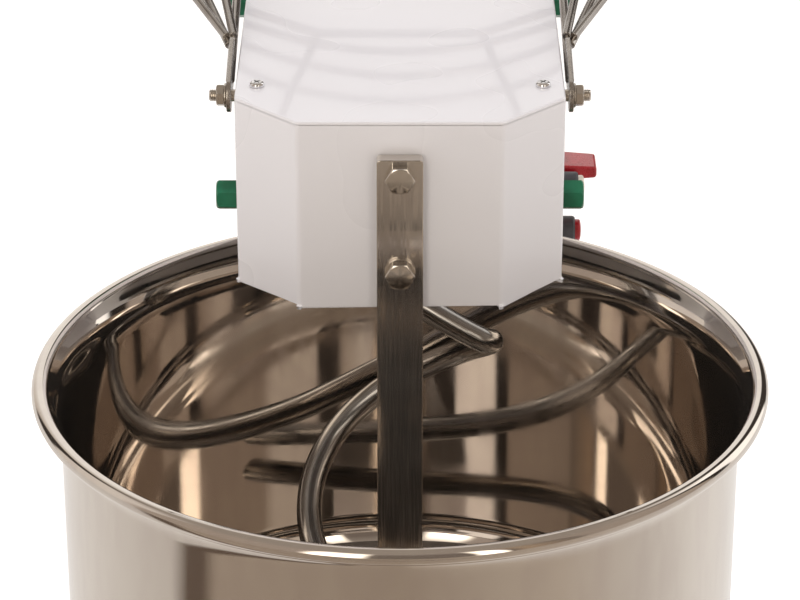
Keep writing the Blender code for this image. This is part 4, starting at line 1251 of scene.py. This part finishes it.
@dataclass
class WireGuard:
    """The welded wire guard, its two pivot plates and the pivots in the head.

    Sizes are in millimetres in the closed guard's frame: sideways, forward of the pivot and up. Each bow is
    given as its right half, down to the middle plane.
    """

    mixer: Mixer
    wire: float = 3.0
    arm: float = 112.0
    ring: float = 232.0
    drop: float = 154.0
    ring_behind: float = 74.0
    plate_length: float = 52.0
    plate_radius: float = 11.0
    open_angle: float = 170.0
    frame: Route = ((112, 18, 0), (112, 185, 0), (58, 205, -22), (0, 205, -22))
    bows: tuple[Route, ...] = (
        ((111.5, 67, -4.5), (130, 186, -4), (100, 207, -19), (55, 222.5, -35), (0, 229, -41)),
        ((114.5, 66, 2), (153, 190, -4), (100, 228, -41), (52, 245, -57), (0, 251, -64)),
        ((116.5, 71, -1.5), (176, 194, -8), (100, 250, -67), (50, 265, -81), (0, 271, -87)),
        ((191, 106, -80), (200, 180, -82), (165, 238, -99), (100, 265, -110), (50, 283, -119), (0, 289, -122)),
    )
    strut: Route = ((145, 142, -5.5), (191, 106, -80), (231.5, 75, -153.5))
    radial: Route = (
        (58, 204, -21),
        (63, 219, -33.5),
        (70, 239, -53),
        (80, 256.5, -74),
        (92, 268, -109),
        (107, 279.5, -154),
    )

    def build(self) -> None:
        """Bends and welds the wires, then adds the plates and pivots."""
        pivot = self.mixer.axis("guard_hinge")
        raised = Matrix.Translation(pivot) @ Matrix.Rotation(-math.radians(self.open_angle), 4, "X")
        wires = [round_bar(path, self.wire, 16, 0.8) for path in self.wires()]
        cage = moved(merged(*wires), raised)
        self.mixer.put("welded_guard_wires", cage, WIRE_STEEL, "guard", ["guard_cage"])
        for name, side in SIDES:
            plate = moved(self.plate(), raised @ Matrix.Translation((side * self.arm * MM, 0.0, 0.0)))
            self.mixer.put(f"pivot_plate_{name}", plate, PLATE_STEEL, "guard", [f"guard_plate_{name}"])
            self.add_pivot(f"guard_pivot_{name}", side)

    def points(self, route: Route, side: float = 1.0) -> list[Vector]:
        """Points of a route in metres in the closed guard's frame, on one side."""
        return [Vector((side * x, -forward, up)) * MM for x, forward, up in route]

    def whole(self, route: Route) -> list[Vector]:
        """A whole wire from its right half."""
        return self.points(route) + self.points(tuple(reversed(route[:-1])), -1.0)

    def wires(self) -> list[list[Vector]]:
        """The centre line of every wire."""
        found = [bent_path(self.whole(self.frame), 9.0)]
        found += [rounded_path(self.whole(bow), 4) for bow in self.bows]
        circle = arc((0.0, self.ring_behind), self.ring, 0, 180, 72)
        found.append(self.points(tuple((x, forward, -self.drop) for x, forward in circle)))
        for _, side in SIDES:
            found.append(rounded_path(self.points(self.strut, side), 2))
            found.append(rounded_path(self.points(self.radial, side), 3))
        return found

    def plate(self) -> Mesh:
        """A pivot plate with round ends, standing across X."""
        far = (self.plate_length, 0.0)
        outline = arc((0.0, 0.0), self.plate_radius, 90, 270, 20) + arc(far, self.plate_radius, -90, 90, 20)
        standing = Matrix(((0, 0, 1, 0), (-1, 0, 0, 0), (0, 1, 0, 0), (0, 0, 0, 1)))
        return moved(softened(extruded(outline, -1.5, 1.5), 0.5, 2), standing)

    def add_pivot(self, node: str, side: float) -> None:
        """Makes a pivot stud with its hex nut and washer."""
        centre = self.mixer.middle(node)
        inner, tip = sorted((abs(self.mixer.low(node).x), abs(self.mixer.high(node).x)))
        seat = self.arm + 1.8
        nut = hexagon(13.0, seat + 1.4, seat + 6.5, 0.9)
        ring = [(4.1, seat), (8.0, seat), (8.0, seat + 1.2), (4.1, seat + 1.2)]
        washer = softened(turned(ring, 48), 0.3, 2)
        thread = [(0.0, inner), (6.5, inner), (6.5, 104.7), (4.0, 104.7), (4.0, seat + 6.0)]
        for number in range(4):
            thread += [(4.0, seat + 6.8 + 1.1 * number), (3.55, seat + 7.3 + 1.1 * number)]
        thread += [(3.4, tip), (0.0, tip)]
        stud = merged(turned(thread, 32), nut, washer)
        turn = Matrix.Rotation(side * math.pi / 2, 4, "Y")
        place = Matrix.Translation((0.0, centre.y * MM, centre.z * MM)) @ turn
        self.mixer.put(f"stud_and_nut_{node}", moved(stud, place), BOLT_STEEL, "frame", [node])


@dataclass
class SideFittings:
    """The bolt caps, the switch, the push buttons and the cable gland. Sizes are in millimetres."""

    mixer: Mixer
    cap_across: float = 18.0
    wall: float = 107.3

    def build(self) -> None:
        """Makes all the fittings on the head's and column's sides."""
        for corner in CORNERS:
            self.add_cap(f"bolt_cap_{corner}")
        self.add_switch()
        self.add_button("start_button", "start", CREAM)
        self.add_button("stop_button", "stop", RED)
        self.add_gland()

    def sideways(self, node: str, side: float) -> Matrix:
        """Matrix that turns a shape built upwards on Z to point out of a side, level with a CAD node."""
        centre = self.mixer.middle(node)
        turn = Matrix.Rotation(side * math.pi / 2, 4, "Y")
        return Matrix.Translation((0.0, centre.y * MM, centre.z * MM)) @ turn

    def add_cap(self, node: str) -> None:
        """Makes a hexagonal bolt cap with turned-off corners."""
        side = -1.0 if "left" in node else 1.0
        tip = max(abs(self.mixer.low(node).x), abs(self.mixer.high(node).x))
        cap = hexagon(self.cap_across, self.wall, tip, 1.6)
        self.mixer.put(f"hex_{node}", moved(cap, self.sideways(node, side)), GREEN, "frame", [node])

    def add_switch(self) -> None:
        """Makes the yellow plate, and the red handle that turns on it."""
        low, high = self.mixer.low("switch_plate"), self.mixer.high("switch_plate")
        plate = block(low, high)
        along = [edge for edge in plate.edges if abs(edge.verts[0].co.x - edge.verts[1].co.x) > MM]
        rounded(plate, along, 3.0, 5)
        plate = softened(plate, 0.6, 2)
        self.mixer.put("switch_face_plate", plate, YELLOW, "frame", ["switch_plate"])
        place = self.sideways("switch_plate", 1.0)
        seat = high.x + 0.3
        inner, tip = self.mixer.low("switch_handle").x, self.mixer.high("switch_handle").x
        hub = [(0.0, inner), (6.6, inner), (6.6, seat), (12.0, seat), (12.0, seat + 4.0), (11.0, seat + 8.5)]
        hub += [(9.5, seat + 9.5), (0.0, seat + 9.5)]
        grip = block((-6.0, -15.0, seat + 5.0), (6.0, 15.0, tip))
        top = [vert for vert in grip.verts if vert.co.z > (tip - 1.0) * MM]
        bmesh.ops.scale(grip, verts=top, vec=(0.72, 0.9, 1.0))
        grip = softened(grip, 2.2, 4)
        handle = moved(merged(turned(hub, 64), grip), place)
        self.mixer.put("rotary_handle", handle, RED, "switch", ["switch_handle"])

    def add_button(self, node: str, body: str, colour: Finish) -> None:
        """Makes a push button and the round bezel that it moves in."""
        place = self.sideways(node, 1.0)
        rim = f"{node}_bezel"
        low, high = self.mixer.low(rim), self.mixer.high(rim)
        outer = (high.z - low.z) / 2
        ring = [(8.4, low.x), (outer, low.x), (outer, high.x - 1.5), (outer - 1.0, high.x), (9.0, high.x)]
        ring += [(8.4, high.x - 0.6)]
        self.mixer.put(f"round_{rim}", moved(turned(ring, 64), place), DARK, "frame", [rim])
        inner, tip = self.mixer.low(node).x, self.mixer.high(node).x
        push = [(0.0, inner), (5.5, inner), (5.5, 110.0), (8.0, 110.0), (8.0, tip - 2.4)]
        push += arc((6.4, tip - 2.4), 1.6, 0, 80, 6) + [(4.0, tip - 0.3), (0.0, tip)]
        self.mixer.put(f"round_{node}", moved(turned(push, 64), place), colour, body, [node])

    def add_gland(self) -> None:
        """Makes the cable gland: a hex body, a domed nut and a rubber bush."""
        node = "cable_gland"
        inner, tip = abs(self.mixer.high(node).x), abs(self.mixer.low(node).x)
        body = hexagon(21.0, self.wall, self.wall + 6.0, 0.8)
        nut = [(0.0, self.wall + 5.0), (10.0, self.wall + 5.0), (10.4, self.wall + 8.0), (9.8, tip - 4.0)]
        nut += [(7.5, tip - 1.0), (5.6, tip), (4.6, tip), (4.2, tip - 5.0), (0.0, tip - 5.0)]
        thread = [(0.0, inner), (7.8, inner), (7.8, self.wall + 1.0), (0.0, self.wall + 1.0)]
        gland = merged(body, turned(nut, 64), turned(thread, 48))
        self.mixer.put("hex_cable_gland", moved(gland, self.sideways(node, -1.0)), BLACK, "frame", [node])


@dataclass
class DriveTrain:
    """The hidden frame, motor, gearbox, chains and shafts, which keep their CAD shape."""

    mixer: Mixer

    def build(self) -> None:
        """Gives each hidden part its finish."""
        self.mixer.coat(FRAME_PAINT, "base_beam", "head_beam", "motor_fan_cover")
        self.mixer.coat(FRAME_PAINT, *[f"column_upright_{name}" for name, _ in SIDES])
        self.mixer.coat(CASTING, "gearbox_housing", "motor_body")
        for shaft in ("bowl", "drive", "spiral"):
            self.mixer.coat(CASTING, f"{shaft}_bearing_upper", f"{shaft}_bearing_lower")
        self.mixer.coat(BLACK, "electrical_box")
        self.mixer.coat(ZINC, "bowl_hub", "spiral_shaft", "drive_shaft")
        self.mixer.coat(OILED_STEEL, "bowl_sprocket", "spiral_sprocket", "drive_sprocket_upper")
        self.mixer.coat(OILED_STEEL, "drive_sprocket_lower", "upper_chain", "lower_chain")


@dataclass
class Studio:
    """A pale floor, soft lamps, a room for the steel to show, and the camera.

    Attributes:
        lens_mm: Focal length of the camera.
        camera_at: Where the camera stands, in metres.
        tilt: Angle of its view from straight down, in degrees.
        lamp_colour: Colour of the lamps.
        lamps: Name, place, aim, size and watts of each lamp.
        ceiling: Colour of the room above the walls.
        peak: Brightest colour in the room.
        walls: Bearing in degrees, colour and brightness of the walls, with the rear at 0 and the right at 90.
        ground: The same for what steel shows from below the horizon.
    """

    lens_mm: float = 146.9
    camera_at: Place = (0.0, -2.068, 1.624)
    tilt: float = 64.17
    lamp_colour: str = "#f2f5ff"
    lamps: tuple[tuple[str, Place, Place, tuple[float, float], float], ...] = (
        ("overhead_softbox", (0.0, 0.5, 3.2), (0.0, 0.0, 0.7), (2.4, 2.4), 38.0),
        ("left_softbox", (-2.4, -0.6, 1.9), (0.0, -0.1, 0.7), (1.0, 1.8), 14.0),
        ("right_softbox", (2.4, -0.3, 1.7), (0.0, -0.1, 0.7), (0.8, 1.6), 10.5),
        ("front_fill", (0.3, -3.0, 1.2), (0.0, 0.0, 0.7), (2.0, 1.2), 6.5),
    )
    ceiling: str = "#5f5851"
    peak: float = 3.2
    walls: Bands = (
        (-180, "#8a7d72", 0.8),
        (-171, "#8a7d72", 0.8),
        (-168, "#fff4e4", 3.2),
        (-155, "#fff4e4", 3.2),
        (-151, "#ae9f92", 1.0),
        (-100, "#b0a194", 1.0),
        (-92, "#e6dcd2", 1.0),
        (-60, "#e6dcd2", 1.0),
        (-57, "#3a332d", 1.0),
        (-44, "#3a332d", 1.0),
        (-40, "#d2c6ba", 1.0),
        (-18, "#fbf6f0", 1.1),
        (12, "#fbf6f0", 1.1),
        (16, "#38312c", 1.0),
        (38, "#38312c", 1.0),
        (41, "#fffaf4", 1.5),
        (67, "#fffaf4", 1.5),
        (69, "#2e2823", 1.0),
        (76, "#2e2823", 1.0),
        (79, "#b0a194", 1.0),
        (124, "#a89a8d", 1.0),
        (128, "#85796e", 1.0),
        (143, "#9a8570", 1.3),
        (148, "#7c7067", 1.0),
        (150, "#fff4e4", 3.0),
        (156, "#fff4e4", 3.0),
        (159, "#7c7067", 1.0),
        (180, "#8a7d72", 0.8),
    )
    ground: Bands = (
        (-180, "#84776a", 1.55),
        (-116, "#8a7d70", 1.55),
        (-110, "#5a4c41", 1.3),
        (-104, "#5a4c41", 1.3),
        (-97, "#d0c8c0", 1.0),
        (-57, "#e9e3dd", 1.0),
        (0, "#f6f2ee", 1.0),
        (57, "#f3eee9", 1.0),
        (90, "#d4ccc4", 1.0),
        (125, "#a99d90", 1.3),
        (180, "#84776a", 1.55),
    )

    def build(self) -> None:
        """Sets up the world, the floor, the lamps and the camera."""
        bpy.context.scene.view_settings.view_transform = "Standard"
        self.add_world()
        self.add_floor()
        self.add_mat()
        for name, at, towards, size, power in self.lamps:
            self.add_lamp(name, at, towards, size, power)
        self.add_camera()

    def add_world(self) -> None:
        """Colours the room by bearing for polished steel to show, and keeps it plain white for the camera."""
        world = bpy.data.worlds.new("studio_room")
        world.use_nodes = True
        tree = world.node_tree
        back = tree.nodes["Background"]
        split = add_node(tree, "SeparateXYZ", {0: add_node(tree, "TexCoord").outputs["Generated"]})
        right, rear, height = (split.outputs[axis] for axis in "XYZ")
        bearing = add_node(tree, "Math", {0: right, 1: rear}, operation="ARCTAN2").outputs[0]
        share = self.between(tree, bearing, -math.pi, math.pi)
        walls = self.ramp(tree, share, self.walls)
        ground = self.ramp(tree, share, self.ground)
        above = self.mix(tree, self.between(tree, height, 0.62, 0.85), walls, hex_colour(self.ceiling))
        room = self.mix(tree, self.between(tree, height, -0.08, 0.04), ground, above)
        seen = add_node(tree, "LightPath").outputs["Is Camera Ray"]
        tree.links.new(self.mix(tree, seen, room, (1.0, 1.0, 1.0, 1.0)), back.inputs["Color"])
        back.inputs["Strength"].default_value = self.peak
        bpy.context.scene.world = world

    def between(self, tree: Tree, value: Socket, low: float, high: float) -> Socket:
        """Turns a value between two limits to a share from 0 to 1."""
        limits = {"Value": value, "From Min": low, "From Max": high}
        return add_node(tree, "MapRange", limits).outputs["Result"]

    def mix(self, tree: Tree, share: Socket, first: object, second: object) -> Socket:
        """Mixes two colours by a share and returns the colour."""
        return add_node(tree, "Mix", {0: share, 6: first, 7: second}, data_type="RGBA").outputs[2]

    def ramp(self, tree: Tree, share: Socket, stops: Bands) -> Socket:
        """Colours the room by bearing.

        Args:
            tree: Node tree that gets the ramp.
            share: Bearing from 0 to 1, once round from the front over the left, the rear and the right.
            stops: Bearings in degrees, their hex colours and their brightness.

        Returns:
            The colour.
        """
        node = add_node(tree, "ValToRGB", {0: share})
        band = node.color_ramp
        while len(band.elements) < len(stops):
            band.elements.new(0.5)
        for element, (bearing, colour, brightness) in zip(band.elements, stops):
            element.position = (bearing + 180.0) / 360.0
            element.color = [part * brightness / self.peak for part in hex_colour(colour)[:3]] + [1.0]
        return node.outputs["Color"]

    def stand(
        self, name: str, bm: Mesh, shade: str, colour: str, roughness: float
    ) -> tuple[bpy.types.Object, bpy.types.Node]:
        """Adds a matt thing that belongs to the studio and not to the mixer.

        Args:
            name: Name of the thing.
            bm: Its shape, in place. It is freed.
            shade: Name of its material.
            colour: Hex colour of its material.
            roughness: Roughness of its material.

        Returns:
            The new object and its material's shader.
        """
        mesh = bpy.data.meshes.new(name)
        bm.to_mesh(mesh)
        bm.free()
        material = bpy.data.materials.new(shade)
        material.use_nodes = True
        shader = material.node_tree.nodes["Principled BSDF"]
        shader.inputs["Base Color"].default_value = hex_colour(colour)
        shader.inputs["Roughness"].default_value = roughness
        mesh.materials.append(material)
        obj = bpy.data.objects.new(name, mesh)
        bpy.context.scene.collection.objects.link(obj)
        return obj, shader

    def add_floor(self) -> None:
        """Lays a pale matt floor that glows a little, so that it stays pale in the shade."""
        bm = bmesh.new()
        bmesh.ops.create_grid(bm, x_segments=1, y_segments=1, size=12.0)
        floor, shader = self.stand("studio_floor", bm, "pale_matt_floor", "#f7f6f5", 0.9)
        shader.inputs["Emission Color"].default_value = hex_colour("#ffffff")
        shader.inputs["Emission Strength"].default_value = 0.45
        floor.visible_glossy = False

    def add_mat(self) -> None:
        """Lays the dark mat that the camera stands on, which only polished steel shows."""
        bm = block((-600.0, -1830.0, 1.0), (600.0, -1705.0, 3.0))
        mat, _ = self.stand("camera_mat", bm, "dark_felt_mat", "#2b2622", 0.95)
        mat.visible_camera = mat.visible_diffuse = mat.visible_shadow = False

    def add_lamp(self, name: str, at: Place, towards: Place, size: tuple[float, float], power: float) -> None:
        """Hangs a rectangular soft lamp.

        Args:
            name: Name of the lamp.
            at: Its place.
            towards: Point that it faces.
            size: Its width and height in metres.
            power: Its power in watts.
        """
        lamp = bpy.data.lights.new(name, "AREA")
        lamp.shape = "RECTANGLE"
        lamp.size, lamp.size_y = size
        lamp.energy = power
        lamp.color = hex_colour(self.lamp_colour)[:3]
        obj = bpy.data.objects.new(name, lamp)
        obj.location = at
        obj.rotation_euler = (Vector(towards) - Vector(at)).to_track_quat("-Z", "Y").to_euler()
        obj.visible_glossy = False
        bpy.context.scene.collection.objects.link(obj)

    def add_camera(self) -> None:
        """Stands the camera in front of the bowl, looking down into it."""
        camera = bpy.data.cameras.new("camera")
        camera.lens = self.lens_mm
        camera.sensor_width = 36.0
        camera.clip_start = 0.05
        camera.clip_end = 50.0
        obj = bpy.data.objects.new("camera", camera)
        obj.location = self.camera_at
        obj.rotation_euler = (math.radians(self.tilt), 0.0, 0.0)
        bpy.context.scene.collection.objects.link(obj)
        bpy.context.scene.camera = obj


def main() -> None:
    """Loads the frame, builds every sub-assembly and sets up the studio."""
    logging.basicConfig(level=logging.INFO, format="%(name)s: %(message)s")
    mixer = Mixer(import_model())
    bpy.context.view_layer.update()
    Studio().build()
    HeadAndColumn(mixer).build()
    Base(mixer).build()
    DriveTrain(mixer).build()
    Bowl(mixer).build()
    SpiralHook(mixer).build()
    BreakerBar(mixer).build()
    WireGuard(mixer).build()
    SideFittings(mixer).build()


if __name__ == "__main__":
    main()
